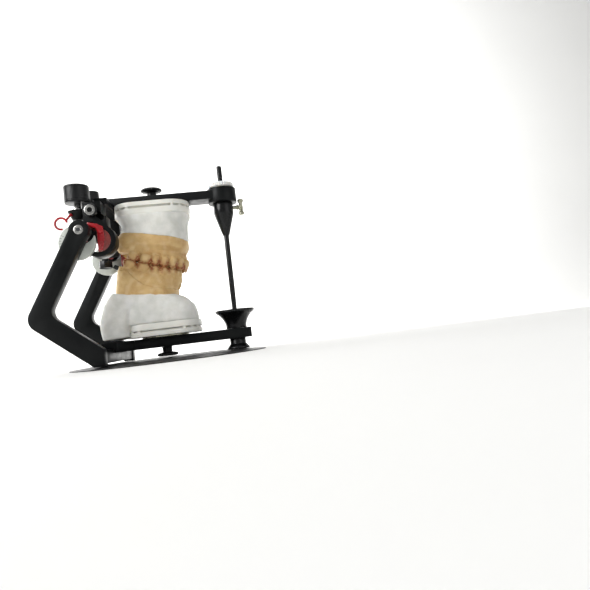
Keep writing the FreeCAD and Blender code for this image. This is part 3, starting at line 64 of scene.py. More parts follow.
# Handling leaves marks about this wide in the gloss; the painted highlight along softened edges
# comes in patches this long.
HANDLING_MM = 6.0
EDGE_HIGHLIGHT_PATCH_MM = 1.5
COAT_ROUGHNESS = 0.12
SCATTER_SHARE = 0.35
SCATTER_RADII = (1.0, 0.8, 0.6)
# A ring wave of scale 1 has one ring in this many units.
WAVE_RING = 0.314
# Points nearer than this, in metres, are one point.
SAME_POINT = 2e-6


class Side(Enum):
    """The two sides of the articulator, with the sign of Y."""

    RIGHT = -1
    LEFT = 1

    def node(self, stem: str) -> str:
        """Name of this side's node or body."""
        return f"{stem}_{self.name.lower()}"


class Slot(Enum):
    """Material slots of the record."""

    BLACK = "black_anodised"
    STEEL = "steel"
    NICKEL = "nickel"
    MAGNET = "magnet"
    PLASTIC = "white_plastic"
    PLASTER = "plaster"
    STONE = "stone"
    RED = "red_plastic"


BODY_OF = {
    node: body
    for body, members in frame["record"]["behaviour"]["bodies"].items()
    for node in members
}


# Materials -----------------------------------------------------------------------------------


def linear(hex_colour: str) -> tuple[float, float, float, float]:
    """Turn an sRGB hex colour into a linear RGBA one.

    Args:
        hex_colour: Six hexadecimal digits.

    Returns:
        Red, green, blue and alpha.
    """
    channels = [int(hex_colour[i : i + 2], 16) / 255 for i in (0, 2, 4)]
    bent = [c / 12.92 if c <= 0.04045 else ((c + 0.055) / 1.055) ** 2.4 for c in channels]
    return (*bent, 1.0)


def add(
    tree: bpy.types.NodeTree, kind: str, inputs: dict | None = None, **settings: object
) -> bpy.types.Node:
    """Add a shader node with its settings, values and links.

    Args:
        tree: Node tree to add to.
        kind: Node type without its "ShaderNode" prefix.
        inputs: Socket name or index to a value or to another node's output socket.
        settings: Properties of the node itself.

    Returns:
        The new node.
    """
    node = tree.nodes.new(f"ShaderNode{kind}")
    for name, value in settings.items():
        setattr(node, name, value)
    for socket, value in (inputs or {}).items():
        if isinstance(value, bpy.types.NodeSocket):
            tree.links.new(value, node.inputs[socket])
        else:
            node.inputs[socket].default_value = value
    return node


@dataclass(frozen=True)
class Finish:
    """A surface: its two tones, its gloss and its grain.

    The colour drifts between the two tones over drift_mm, the roughness wanders round its
    mean, and a fine grain of grain_mm stands grain_um high.
    """

    name: str
    tone: str
    other_tone: str
    roughness: float
    metallic: float = 0.0
    ior: float = 1.5
    drift_mm: float = 12.0
    spread: float = 0.06
    grain_mm: float = 0.4
    grain_um: float = 12.0
    coat: float = 0.0
    subsurface_mm: float = 0.0
    # Tone of the painted highlight along softened edges; empty for none.
    edge_tone: str = ""
    specular: float = 0.5

    def build(self) -> bpy.types.Material:
        """Make the material's nodes.

        Returns:
            The material.
        """
        material = bpy.data.materials.new(self.name)
        material.use_nodes = True
        material.diffuse_color = linear(self.tone)
        tree = material.node_tree
        tree.nodes.clear()
        place = add(tree, "TexCoord").outputs["Object"]
        shader = add(tree, "BsdfPrincipled", self.constants())
        colour = self.colour(tree, place)
        tree.links.new(self.edges(tree, place, colour), shader.inputs["Base Color"])
        tree.links.new(self.gloss(tree, place), shader.inputs["Roughness"])
        tree.links.new(self.relief(tree, place), shader.inputs["Normal"])
        add(tree, "OutputMaterial", {"Surface": shader.outputs["BSDF"]})
        return material

    def constants(self) -> dict:
        """Values that are the same all over the surface."""
        values = {"Metallic": self.metallic, "Specular IOR Level": self.specular}
        if self.metallic < 1:
            values["IOR"] = self.ior
        if self.coat:
            values["Coat Weight"] = self.coat
            values["Coat Roughness"] = COAT_ROUGHNESS
        if self.subsurface_mm:
            values["Subsurface Weight"] = SCATTER_SHARE
            values["Subsurface Scale"] = self.subsurface_mm * MM
            values["Subsurface Radius"] = SCATTER_RADII
        return values

    def noise(
        self, tree: bpy.types.NodeTree, place: bpy.types.NodeSocket, size_mm: float, detail: float
    ) -> bpy.types.NodeSocket:
        """Noise whose features are size_mm across."""
        inputs = {"Vector": place, "Scale": 1 / (size_mm * MM), "Detail": detail}
        return add(tree, "TexNoise", inputs).outputs["Fac"]

    def blend(
        self,
        tree: bpy.types.NodeTree,
        share: bpy.types.NodeSocket,
        first: object,
        second: object,
    ) -> bpy.types.NodeSocket:
        """Mix two colours, each a socket or a linear colour."""
        inputs = {0: share, 6: first, 7: second}
        return add(tree, "Mix", inputs, data_type="RGBA").outputs[2]

    def span(
        self,
        tree: bpy.types.NodeTree,
        value: bpy.types.NodeSocket,
        low: float,
        high: float,
        to_low: float = 0.0,
        to_high: float = 1.0,
    ) -> bpy.types.NodeSocket:
        """Stretch low..high of a value over to_low..to_high."""
        inputs = {0: value, 1: low, 2: high, 3: to_low, 4: to_high}
        return add(tree, "MapRange", inputs).outputs[0]

    def colour(
        self, tree: bpy.types.NodeTree, place: bpy.types.NodeSocket
    ) -> bpy.types.NodeSocket:
        """The drifting base colour."""
        drift = self.span(tree, self.noise(tree, place, self.drift_mm, 3), 0.35, 0.65)
        return self.blend(tree, drift, linear(self.tone), linear(self.other_tone))

    def edges(
        self,
        tree: bpy.types.NodeTree,
        place: bpy.types.NodeSocket,
        colour: bpy.types.NodeSocket,
    ) -> bpy.types.NodeSocket:
        """Paint a highlight, lighter than the finish, along softened edges, in broken patches."""
        if not self.edge_tone:
            return colour
        edge = add(tree, "Attribute", attribute_name="edge").outputs["Fac"]
        patches = self.span(tree, self.noise(tree, place, EDGE_HIGHLIGHT_PATCH_MM, 2), 0.45, 0.62)
        share = add(tree, "Math", {0: edge, 1: patches}, operation="MULTIPLY").outputs[0]
        return self.blend(tree, share, colour, linear(self.edge_tone))

    def gloss(
        self, tree: bpy.types.NodeTree, place: bpy.types.NodeSocket
    ) -> bpy.types.NodeSocket:
        """Roughness that wanders over the handling marks."""
        marks = self.noise(tree, place, HANDLING_MM, 4)
        low, high = self.roughness - self.spread, self.roughness + self.spread
        return self.span(tree, marks, 0.3, 0.7, low, high)

    def relief(
        self, tree: bpy.types.NodeTree, place: bpy.types.NodeSocket
    ) -> bpy.types.NodeSocket:
        """Bump of the fine grain."""
        height = self.noise(tree, place, self.grain_mm, 2)
        inputs = {"Height": height, "Distance": self.grain_um * MICRON, "Strength": 1.0}
        return add(tree, "Bump", inputs).outputs["Normal"]


@dataclass(frozen=True)
class TurnedFinish(Finish):
    """Metal off a lathe: fine rings about the piece's own axis."""

    axis: tuple[float, float, float] = (0.0, 0.0, 0.0)
    rings: str = "Z"
    ring_mm: float = 0.5

    def relief(
        self, tree: bpy.types.NodeTree, place: bpy.types.NodeSocket
    ) -> bpy.types.NodeSocket:
        """Bump of the lathe rings, drawn coarser than the real 0.1 mm feed so that they show."""
        centre = tuple(-v * MM for v in self.axis)
        moved = add(tree, "Mapping", {"Vector": place, "Location": centre})
        scale = WAVE_RING / (self.ring_mm * MM)
        inputs = {"Vector": moved.outputs[0], "Scale": scale, "Distortion": 0.4}
        wave = add(
            tree, "TexWave", inputs, wave_type="RINGS", rings_direction=self.rings
        ).outputs["Fac"]
        bump = {"Height": wave, "Distance": self.grain_um * MICRON, "Strength": 0.6}
        return add(tree, "Bump", bump).outputs["Normal"]


@dataclass(frozen=True)
class StoneFinish(Finish):
    """Dental stone: pores with painted shade in them, rubbed high spots, and brown marks that are
    partly stain and partly painted shade along the bite and between the teeth.
    """

    # The brown tone is stain and painted shade along the bite gap and between the teeth; the pore
    # tone is painted shade in the pores.
    mark_tone: str = "8c4a1c"
    pale_tone: str = "dec598"
    pore_tone: str = "7d5c34"
    pore_mm: float = 2.2
    patch_mm: float = 1.6
    trim_mm: float = 2.6

    def edges(
        self,
        tree: bpy.types.NodeTree,
        place: bpy.types.NodeSocket,
        colour: bpy.types.NodeSocket,
    ) -> bpy.types.NodeSocket:
        """Paint the pale high spots, the painted shade in the pores and the brown marks, partly
        stain and partly painted shade.
        """
        high = add(tree, "Attribute", attribute_name="high").outputs["Fac"]
        pale = self.blend(tree, high, colour, linear(self.pale_tone))
        pores = add(
            tree, "TexVoronoi", {"Vector": place, "Scale": 1 / (self.pore_mm * MM)}, feature="F1"
        ).outputs["Distance"]
        # Painted shade in the pores: dark dots with no hollow under them.
        pore_shade = self.span(tree, pores, 0.06, 0.14, 0.55, 0.0)
        pore_shaded = self.blend(tree, pore_shade, pale, linear(self.pore_tone))
        mark = add(tree, "Attribute", attribute_name="mark").outputs["Fac"]
        blots = self.noise(tree, place, self.patch_mm, 3)
        patches = self.span(tree, blots, 0.3, 0.5, 0.25, 1.0)
        share = add(tree, "Math", {0: mark, 1: patches}, operation="MULTIPLY").outputs[0]
        return self.blend(tree, share, pore_shaded, linear(self.mark_tone))

    def relief(
        self, tree: bpy.types.NodeTree, place: bpy.types.NodeSocket
    ) -> bpy.types.NodeSocket:
        """Grain of the set stone with shallow trowel and trimming marks."""
        fine = self.noise(tree, place, self.grain_mm, 3)
        broad = self.noise(tree, place, self.trim_mm, 2)
        both = add(tree, "Math", {0: fine, 1: broad}, operation="ADD").outputs[0]
        inputs = {"Height": both, "Distance": self.grain_um * MICRON, "Strength": 1.0}
        return add(tree, "Bump", inputs).outputs["Normal"]


# Anodised aluminium, bead-blasted first: a satin grey-black with no mirror highlights.
ANODISED = Finish(
    "satin_black_anodised_aluminium", "0c0e0f", "151717", 0.38, metallic=0.15, ior=1.6,
    drift_mm=34, grain_mm=0.35, grain_um=8, edge_tone="303335", specular=0.12,
)
# The same alloy left as turned before it was anodised: deeper black, with a clear highlight.
ANODISED_TURNED = TurnedFinish(
    "turned_black_anodised_aluminium", "0b0c0d", "121314", 0.25, metallic=0.3, ior=1.6,
    grain_um=4, edge_tone="34373a", axis=(65, 0, 0), specular=0.3,
)
# Rolled sheet, anodised: flatter and duller than the milled bars.
ANODISED_SHEET = Finish(
    "anodised_aluminium_sheet", "0e0f10", "151617", 0.42, metallic=0.3, ior=1.6,
    drift_mm=40, grain_mm=0.6, grain_um=8, edge_tone="3a3d40", specular=0.22,
)
# Acetal knobs: moulded, dense black, slightly waxy.
ACETAL = Finish(
    "black_acetal_knob", "0a0b0c", "101112", 0.33, ior=1.48, grain_mm=0.5, grain_um=6,
    edge_tone="26282a", specular=0.35,
)
# Ground stainless steel: bright, with a soft satin.
STEEL = Finish(
    "ground_stainless_steel", "b9b8b4", "a5a5a2", 0.27, metallic=1, drift_mm=4,
    grain_mm=0.25, grain_um=3,
)
# Nickel-plated brass, handled until it is dull and slightly yellow.
NICKEL = Finish(
    "dull_nickel_plate", "b5b4a4", "97967f", 0.3, metallic=1, drift_mm=5, spread=0.1,
    grain_mm=0.5, grain_um=6,
)
# ABS mounting plates: moulded off-white with a fine spark-eroded texture.
ABS = Finish(
    "moulded_white_abs", "e6e5de", "dddcd4", 0.4, ior=1.53, drift_mm=20, grain_mm=0.45,
    grain_um=10, coat=0.15, subsurface_mm=0.8, edge_tone="f3f2ee",
)
# Acetal collar: whiter and glossier than the plates.
ACETAL_WHITE = Finish(
    "white_acetal", "e9e9e6", "dcdcd8", 0.3, ior=1.48, drift_mm=8, grain_mm=0.5, grain_um=5,
    subsurface_mm=0.6,
)
# The dial's lacquered face, a greenish grey-white.
LACQUER = Finish(
    "grey_white_lacquer", "c3c7c0", "b4b8b1", 0.34, ior=1.5, drift_mm=9, grain_mm=0.6,
    grain_um=6, edge_tone="e6e8e4",
)
# Red acrylic insert: glossy and a little translucent, with a painted highlight along its edges.
RED_ACRYLIC = Finish(
    "red_acrylic", "b0141f", "8e0f18", 0.24, ior=1.49, drift_mm=7, grain_mm=0.8, grain_um=4,
    coat=0.3, subsurface_mm=1.2, edge_tone="d8454a",
)
# The insert's front wall: the same acrylic in a darker, browner red.
DARKER_RED_ACRYLIC = Finish(
    "smoked_red_acrylic", "8e3c36", "73302c", 0.26, ior=1.49, drift_mm=6, grain_mm=0.8,
    grain_um=4, coat=0.3, subsurface_mm=1.0, edge_tone="b3706a",
)
# The clip under the ball, the same acrylic thinned to a pink band.
PINK_ACRYLIC = Finish(
    "pale_red_acrylic", "c8666a", "b04a50", 0.3, ior=1.49, drift_mm=5, grain_mm=0.8,
    grain_um=4, subsurface_mm=1.5,
)
# Impression plaster: chalky white, wiped smooth while wet.
PLASTER = Finish(
    "wiped_white_plaster", "e4e3de", "d3d3cc", 0.78, ior=1.52, drift_mm=9, grain_mm=1.1,
    grain_um=60, subsurface_mm=0.7,
)
# Yellow dental stone: dense, trimmed wet, slightly waxy from handling.
STONE = StoneFinish(
    "yellow_dental_stone", "d4b57c", "c49e66", 0.6, ior=1.52, drift_mm=9, grain_mm=0.7,
    grain_um=50, subsurface_mm=0.6,
)
# Engraved and inked scale lines, and the painted shade in the condyle screw sockets.
INK_AND_SHADE = Finish("engraving_ink", "1c1f22", "2a2d30", 0.5, grain_um=4)
# Pale floor and backdrop paper.
PAPER = Finish(
    "white_backdrop_paper", "f0f0ee", "eeeeec", 0.85, drift_mm=300, grain_mm=1.5, grain_um=20
)


class Paints:
    """Builds each finish once and hands out its material."""

    def __init__(self) -> None:
        """Start with no materials."""
        self.made: dict[str, bpy.types.Material] = {}

    def get(self, finish: Finish) -> bpy.types.Material:
        """The material of a finish."""
        if finish.name not in self.made:
            self.made[finish.name] = finish.build()
        return self.made[finish.name]


PAINTS = Paints()


# Mesh helpers --------------------------------------------------------------------------------


def paint(obj: bpy.types.Object, finish: Finish) -> None:
    """Give an object one finish."""
    obj.data.materials.clear()
    obj.data.materials.append(PAINTS.get(finish))


def finished(
    bm: bmesh.types.BMesh,
    name: str,
    finish: Finish,
    node: str,
    stands_for: bool = True,
    smooth_deg: float = 32,
) -> bpy.types.Object:
    """Turn a bmesh into a piece that rides on the body of a CAD node.

    Args:
        bm: Mesh in metres, in its place. It is freed.
        name: Name of the piece.
        finish: Its surface.
        node: CAD node whose body it rides on.
        stands_for: Whether the CAD node is hidden.
        smooth_deg: Edges sharper than this stay crisp.

    Returns:
        The object.
    """
    crisp = math.radians(smooth_deg)
    for face in bm.faces:
        face.smooth = True
    for edge in bm.edges:
        edge.smooth = len(edge.link_faces) != 2 or edge.calc_face_angle(0) < crisp
    mesh = bpy.data.meshes.new(name)
    bm.to_mesh(mesh)
    count = len(bm.faces)
    bm.free()
    obj = bpy.data.objects.new(name, mesh)
    bpy.context.scene.collection.objects.link(obj)
    paint(obj, finish)
    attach(obj, BODY_OF[node])
    if stands_for:
        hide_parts(node)
    log.info("%s: %d faces on %s", name, count, BODY_OF[node])
    return obj


def soften(bm: bmesh.types.BMesh, width_mm: float, over_deg: float = 30) -> None:
    """Bevel the sharp edges and mark the bevels with the "edge" attribute, which carries the
    painted edge highlight.

    Args:
        bm: Mesh to change.
        width_mm: Width of the bevel.
        over_deg: Edges sharper than this are bevelled.
    """
    limit = math.radians(over_deg)
    sharp = [e for e in bm.edges if len(e.link_faces) == 2 and e.calc_face_angle(0) > limit]
    edge_highlight = bm.faces.layers.float.new("edge")
    made = bmesh.ops.bevel(
        bm, geom=sharp, offset=width_mm * MM, offset_type="OFFSET", segments=2,
        profile=0.5, affect="EDGES", clamp_overlap=True, material=-1,
    )
    for face in made["faces"]:
        face[edge_highlight] = 1.0


def machined(
    node: str,
    finish: Finish,
    width_mm: float = 0.35,
    over_deg: float = 30,
    carve: Callable[[bmesh.types.BMesh], None] | None = None,
) -> bpy.types.Object:
    """Stand a merged copy with softened edges in place of a milled or turned CAD node.

    Args:
        node: CAD node to copy.
        finish: Its surface.
        width_mm: Width of the softened edges.
        over_deg: Edges sharper than this are softened.
        carve: Change to make before the edges are softened.

    Returns:
        The object.
    """
    bm = bmesh.new()
    bm.from_mesh(frame["nodes"][node].data)
    bmesh.ops.remove_doubles(bm, verts=bm.verts, dist=SAME_POINT)
    bmesh.ops.dissolve_limit(
        bm, angle_limit=math.radians(0.6), verts=bm.verts, edges=bm.edges,
        use_dissolve_boundaries=False,
    )
    if carve:
        carve(bm)
    soften(bm, width_mm, over_deg)
    return finished(bm, f"{node}_softened", finish, node)


def spun(profile: list[tuple[float, float]], steps: int = 96) -> bmesh.types.BMesh:
    """Spin a profile about Z.

    Args:
        profile: Radius and height of each corner, from pole to pole, in millimetres.
        steps: Segments round the axis.

    Returns:
        A closed mesh about the origin.
    """
    bm = bmesh.new()
    verts = [bm.verts.new((r * MM, 0, z * MM)) for r, z in profile]
    edges = [bm.edges.new(pair) for pair in zip(verts, verts[1:])]
    bmesh.ops.spin(
        bm, geom=verts + edges, cent=(0, 0, 0), axis=(0, 0, 1), dvec=(0, 0, 0),
        angle=math.tau, steps=steps, use_merge=True,
    )
    bmesh.ops.remove_doubles(bm, verts=bm.verts, dist=1e-7)
    bmesh.ops.recalc_face_normals(bm, faces=bm.faces)
    return bm


def flute(bm: bmesh.types.BMesh, count: int, depth_mm: float, over_mm: float) -> None:
    """Press finger flutes into the rim of a spun piece.

    Args:
        bm: Mesh about the Z axis.
        count: Number of flutes.
        depth_mm: Depth of each.
        over_mm: Only points further out than this move.
    """
    for vert in bm.verts:
        radius = math.hypot(vert.co.x, vert.co.y)
        if radius < over_mm * MM:
            continue
        angle = math.atan2(vert.co.y, vert.co.x)
        press = depth_mm * MM * (0.5 - 0.5 * math.cos(count * angle)) ** 2
        vert.co.x *= (radius - press) / radius
        vert.co.y *= (radius - press) / radius


def put(bm: bmesh.types.BMesh, place: Vector, turn: Matrix | None = None) -> bmesh.types.BMesh:
    """Turn and move a whole mesh."""
    bmesh.ops.transform(bm, matrix=Matrix.Translation(place) @ (turn or Matrix()), verts=bm.verts)
    return bm


def join(bm: bmesh.types.BMesh, other: bmesh.types.BMesh) -> None:
    """Move another mesh's geometry into this one."""
    scratch = bpy.data.meshes.new("scratch")
    other.to_mesh(scratch)
    other.free()
    bm.from_mesh(scratch)
    bpy.data.meshes.remove(scratch)


def remeshed(bm: bmesh.types.BMesh, voxel_mm: float) -> bmesh.types.BMesh:
    """Fuse overlapping closed shells into one skin.

    Args:
        bm: Closed shells. It is freed.
        voxel_mm: Size of the remesh cells.

    Returns:
        The fused mesh.
    """
    mesh = bpy.data.meshes.new("rough")
    bm.to_mesh(mesh)
    bm.free()
    obj = bpy.data.objects.new("rough", mesh)
    bpy.context.scene.collection.objects.link(obj)
    change = obj.modifiers.new("fuse", "REMESH")
    change.mode = "VOXEL"
    change.voxel_size = voxel_mm * MM
    bpy.context.view_layer.update()
    fused = bmesh.new()
    fused.from_object(obj, bpy.context.evaluated_depsgraph_get())
    bpy.data.objects.remove(obj)
    bpy.data.meshes.remove(mesh)
    return fused


def relax(bm: bmesh.types.BMesh, rounds: int, share: float = 0.5) -> None:
    """Smooth every point towards its neighbours."""
    for _ in range(rounds):
        bmesh.ops.smooth_vert(
            bm, verts=bm.verts, factor=share, use_axis_x=True, use_axis_y=True, use_axis_z=True
        )


def roughen(bm: bmesh.types.BMesh, size_mm: float, depth_mm: float, seed: float) -> None:
    """Push points along their normals by smooth noise.

    Args:
        bm: Mesh to change.
        size_mm: Size of the bumps.
        depth_mm: Height of the bumps.
        seed: Shifts the pattern.
    """
    bm.normal_update()
    for vert in bm.verts:
        where = vert.co / (size_mm * MM) + Vector((seed, seed * 0.7, seed * 1.3))
        vert.co += vert.normal * (noise.noise(where) * depth_mm * MM)


def hump(value: float, middle: float, reach: float) -> float:
    """Bell curve: 1 at the middle, 0.37 at the reach on either side."""
    return math.exp(-(((value - middle) / reach) ** 2))


@dataclass(frozen=True)
class Ring:
    """One level of a hand-shaped mount: its outline from above and its tilt."""

    front: float
    rear: float
    half: float
    front_z: float
    rear_z: float
    nose: float = 2.2
    tail: float = 4.5
    centre: float = -4.0

    def point(self, angle: float) -> Vector:
        """A point of the outline, in metres, at an angle about the centre."""
        cos, sin = math.cos(angle), math.sin(angle)
        power = 2 / (self.nose if cos > 0 else self.tail)
        reach = (self.front if cos > 0 else self.rear) - self.centre
        x = self.centre + abs(reach) * math.copysign(abs(cos) ** power, cos)
        y = self.half * math.copysign(abs(sin) ** power, sin)
        share = (x - self.rear) / (self.front - self.rear)
        return Vector((x, y, self.rear_z + (self.front_z - self.rear_z) * share)) * MM


def lofted(rings: list[Ring], steps: int = 120) -> bmesh.types.BMesh:
    """Extrude a closed outline through a stack of rings and cap both ends.

    Args:
        rings: Levels from one end to the other.
        steps: Points round each ring.

    Returns:
        A closed mesh.
    """
    bm = bmesh.new()
    turn = bm.verts.layers.float.new("turn")
    bmesh.ops.create_circle(bm, cap_ends=False, segments=steps, radius=1)
    level, edges = bm.verts[:], bm.edges[:]
    for vert in level:
        vert[turn] = math.atan2(vert.co.y, vert.co.x)
    for ring in rings:
        if ring is not rings[0]:
            grown = bmesh.ops.extrude_edge_only(bm, edges=edges)["geom"]
            level = [g for g in grown if isinstance(g, bmesh.types.BMVert)]
            new = set(level)
            edges = [
                g for g in grown if isinstance(g, bmesh.types.BMEdge) and set(g.verts) <= new
            ]
        for vert in level:
            vert.co = ring.point(vert[turn])
    bmesh.ops.holes_fill(bm, edges=[e for e in bm.edges if e.is_boundary], sides=0)
    bmesh.ops.recalc_face_normals(bm, faces=bm.faces)
    return bm


def block(low: tuple[float, float, float], high: tuple[float, float, float]) -> bmesh.types.BMesh:
    """A box between two corners, in millimetres."""
    bm = bmesh.new()
    bmesh.ops.create_cube(bm, size=1)
    size = [b - a for a, b in zip(low, high)]
    middle = [(a + b) / 2 for a, b in zip(low, high)]
    bmesh.ops.scale(bm, vec=Vector(size) * MM, verts=bm.verts)
    return put(bm, Vector(middle) * MM)


def strip(
    rails: tuple[tuple[float, float, float, float], ...], y_from: float, y_to: float
) -> bmesh.types.BMesh:
    """A flat bent strip across Y.

    Args:
        rails: X and Z of its inner edge, then of its outer edge, in millimetres.
        y_from: One face.
        y_to: The other face.

    Returns:
        A closed mesh.
    """
    bm = bmesh.new()
    rungs = [
        [bm.verts.new((x * MM, y_from * MM, z * MM)) for x, z in (rail[:2], rail[2:])]
        for rail in rails
    ]
    for near, far in zip(rungs, rungs[1:]):
        bmesh.ops.contextual_create(bm, geom=[*near, *far])
    grown = bmesh.ops.extrude_face_region(bm, geom=bm.faces[:])["geom"]
    moved = [g for g in grown if isinstance(g, bmesh.types.BMVert)]
    bmesh.ops.translate(bm, vec=(0, (y_to - y_from) * MM, 0), verts=moved)
    bmesh.ops.recalc_face_normals(bm, faces=bm.faces)
    return bm


def centre_of(node: str) -> Vector:
    """Middle of a CAD node's box, in metres."""
    low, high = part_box(node)
    return (low + high) / 2


# Frame ---------------------------------------------------------------------------------------


@dataclass
class Frame:
    """Carrier plate, bars, crossbeams, arms, post and screws."""

    edge_mm: float = 0.45
    fine_edge_mm: float = 0.2
    # Size and thickness of the painted shade hexagon in each condyle screw socket.
    socket_mm: float = 1.75
    plug_mm: float = 0.1
    milled: tuple[str, ...] = (
        "lower_bar", "lower_crossbeam", "arm_right", "arm_left", "upper_bar", "upper_crossbeam",
    )
    screws: tuple[str, ...] = ("lower_bar_screws", "upper_bar_screws")
    bright: tuple[str, ...] = ("arm_dowels", "condyle_right", "condyle_left")

    def build(self) -> None:
        """Build every piece of the frame."""
        machined("carrier_plate", ANODISED_SHEET, self.fine_edge_mm, over_deg=40)
        for node in self.milled:
            machined(node, ANODISED, self.edge_mm)
        for node in self.screws:
            machined(node, ACETAL, self.fine_edge_mm)
        machined("condyle_screws", STEEL, self.fine_edge_mm)
        for node in self.bright:
            paint(frame["nodes"][node], STEEL)
        self.sockets()

    def sockets(self) -> None:
        """Painted shade: a thin black hexagon at the mouth of each condyle screw's socket,
        standing in for the shade inside it.
        """
        low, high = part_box("condyle_screws")
        middle = (low + high) / 2
        bm = bmesh.new()
        for face in (low.y, high.y):
            shade_disc = bmesh.new()
            bmesh.ops.create_cone(
                shade_disc, cap_ends=True, segments=6, radius1=self.socket_mm * MM,
                radius2=self.socket_mm * MM, depth=self.plug_mm * MM,
            )
            place = Vector((middle.x, face, middle.z))
            join(bm, put(shade_disc, place, Matrix.Rotation(QUARTER, 4, "X")))
        finished(
            bm, "condyle_screw_sockets", INK_AND_SHADE, "condyle_screws", stands_for=False
        )


# Incisal pin and table -----------------------------------------------------------------------


@dataclass
class PinAndTable:
    """The incisal pin with its sleeve, collar and lock screw, and the table that it stands in."""

    collar_flutes: int = 30
    collar_flute_mm: float = 0.45
    collar_bore_mm: float = 2.65
    wing_waist_mm: float = 1.9
    wing_end_mm: float = 2.9
    shank_mm: float = 1.75

    def build(self) -> None:
        """Build every piece on the pin's axis."""
        for node in ("table_post", "incisal_table", "guide_sleeve", "incisal_pin"):
            machined(node, ANODISED_TURNED, 0.3)
        self.collar()
        self.lock_screw()

    def collar(self) -> None:
        """White collar: a fluted rim above a plain seat, with a bore for the pin."""
        low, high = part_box("pin_collar")
        radius = (high.x - low.x) / 2 / MM
        tall = (high.z - low.z) / MM
        bore = self.collar_bore_mm
        bm = spun(
            [
                (bore, 0), (radius - 1.4, 0), (radius - 1.4, 1.1), (radius, 1.5),
                (radius, tall - 0.7), (radius - 0.7, tall), (bore + 2.4, tall),
                (bore + 1.6, tall - 0.5), (bore, tall - 0.5), (bore, 0),
            ],
            steps=self.collar_flutes * 8,
        )
        flute(bm, self.collar_flutes, self.collar_flute_mm, radius - 0.8)
        centre = centre_of("pin_collar")
        put(bm, Vector((centre.x, centre.y, low.z)))
        finished(bm, "collar_fluted", ACETAL_WHITE, "pin_collar")

    def lock_screw(self) -> None:
        """Nickel lock screw: a plain shank with a shoulder and a waisted wing bar."""
        low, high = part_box("pin_lock_screw")
        half = (high.z - low.z) / 2 / MM
        end, waist, thin = self.wing_end_mm, self.wing_waist_mm, self.shank_mm
        wing_x = high.x / MM - end
        wing = spun(
            [
                (0, -half), (end * 0.7, -half), (end, -half + 0.6), (end, -half + 2.2),
                (waist, -half + 4.2), (waist + 0.2, 0), (waist, half - 4.2), (end, half - 2.2),
                (end, half - 0.6), (end * 0.7, half), (0, half),
            ],
            steps=32,
        )
        middle = (low.z + high.z) / 2
        put(wing, Vector((wing_x * MM, 0, middle)))
        length = wing_x - low.x / MM
        shank = spun(
            [
                (0, 0), (thin, 0), (thin, length - 4.5), (thin + 0.9, length - 4.1),
                (thin + 0.9, length - 2.6), (thin, length - 2.2), (thin, length), (0, length),
            ],
            steps=32,
        )
        put(shank, Vector((low.x, 0, middle)), Matrix.Rotation(QUARTER, 4, "Y"))
        join(wing, shank)
        finished(wing, "lock_screw_wing", NICKEL, "pin_lock_screw")


# Knobs ---------------------------------------------------------------------------------------


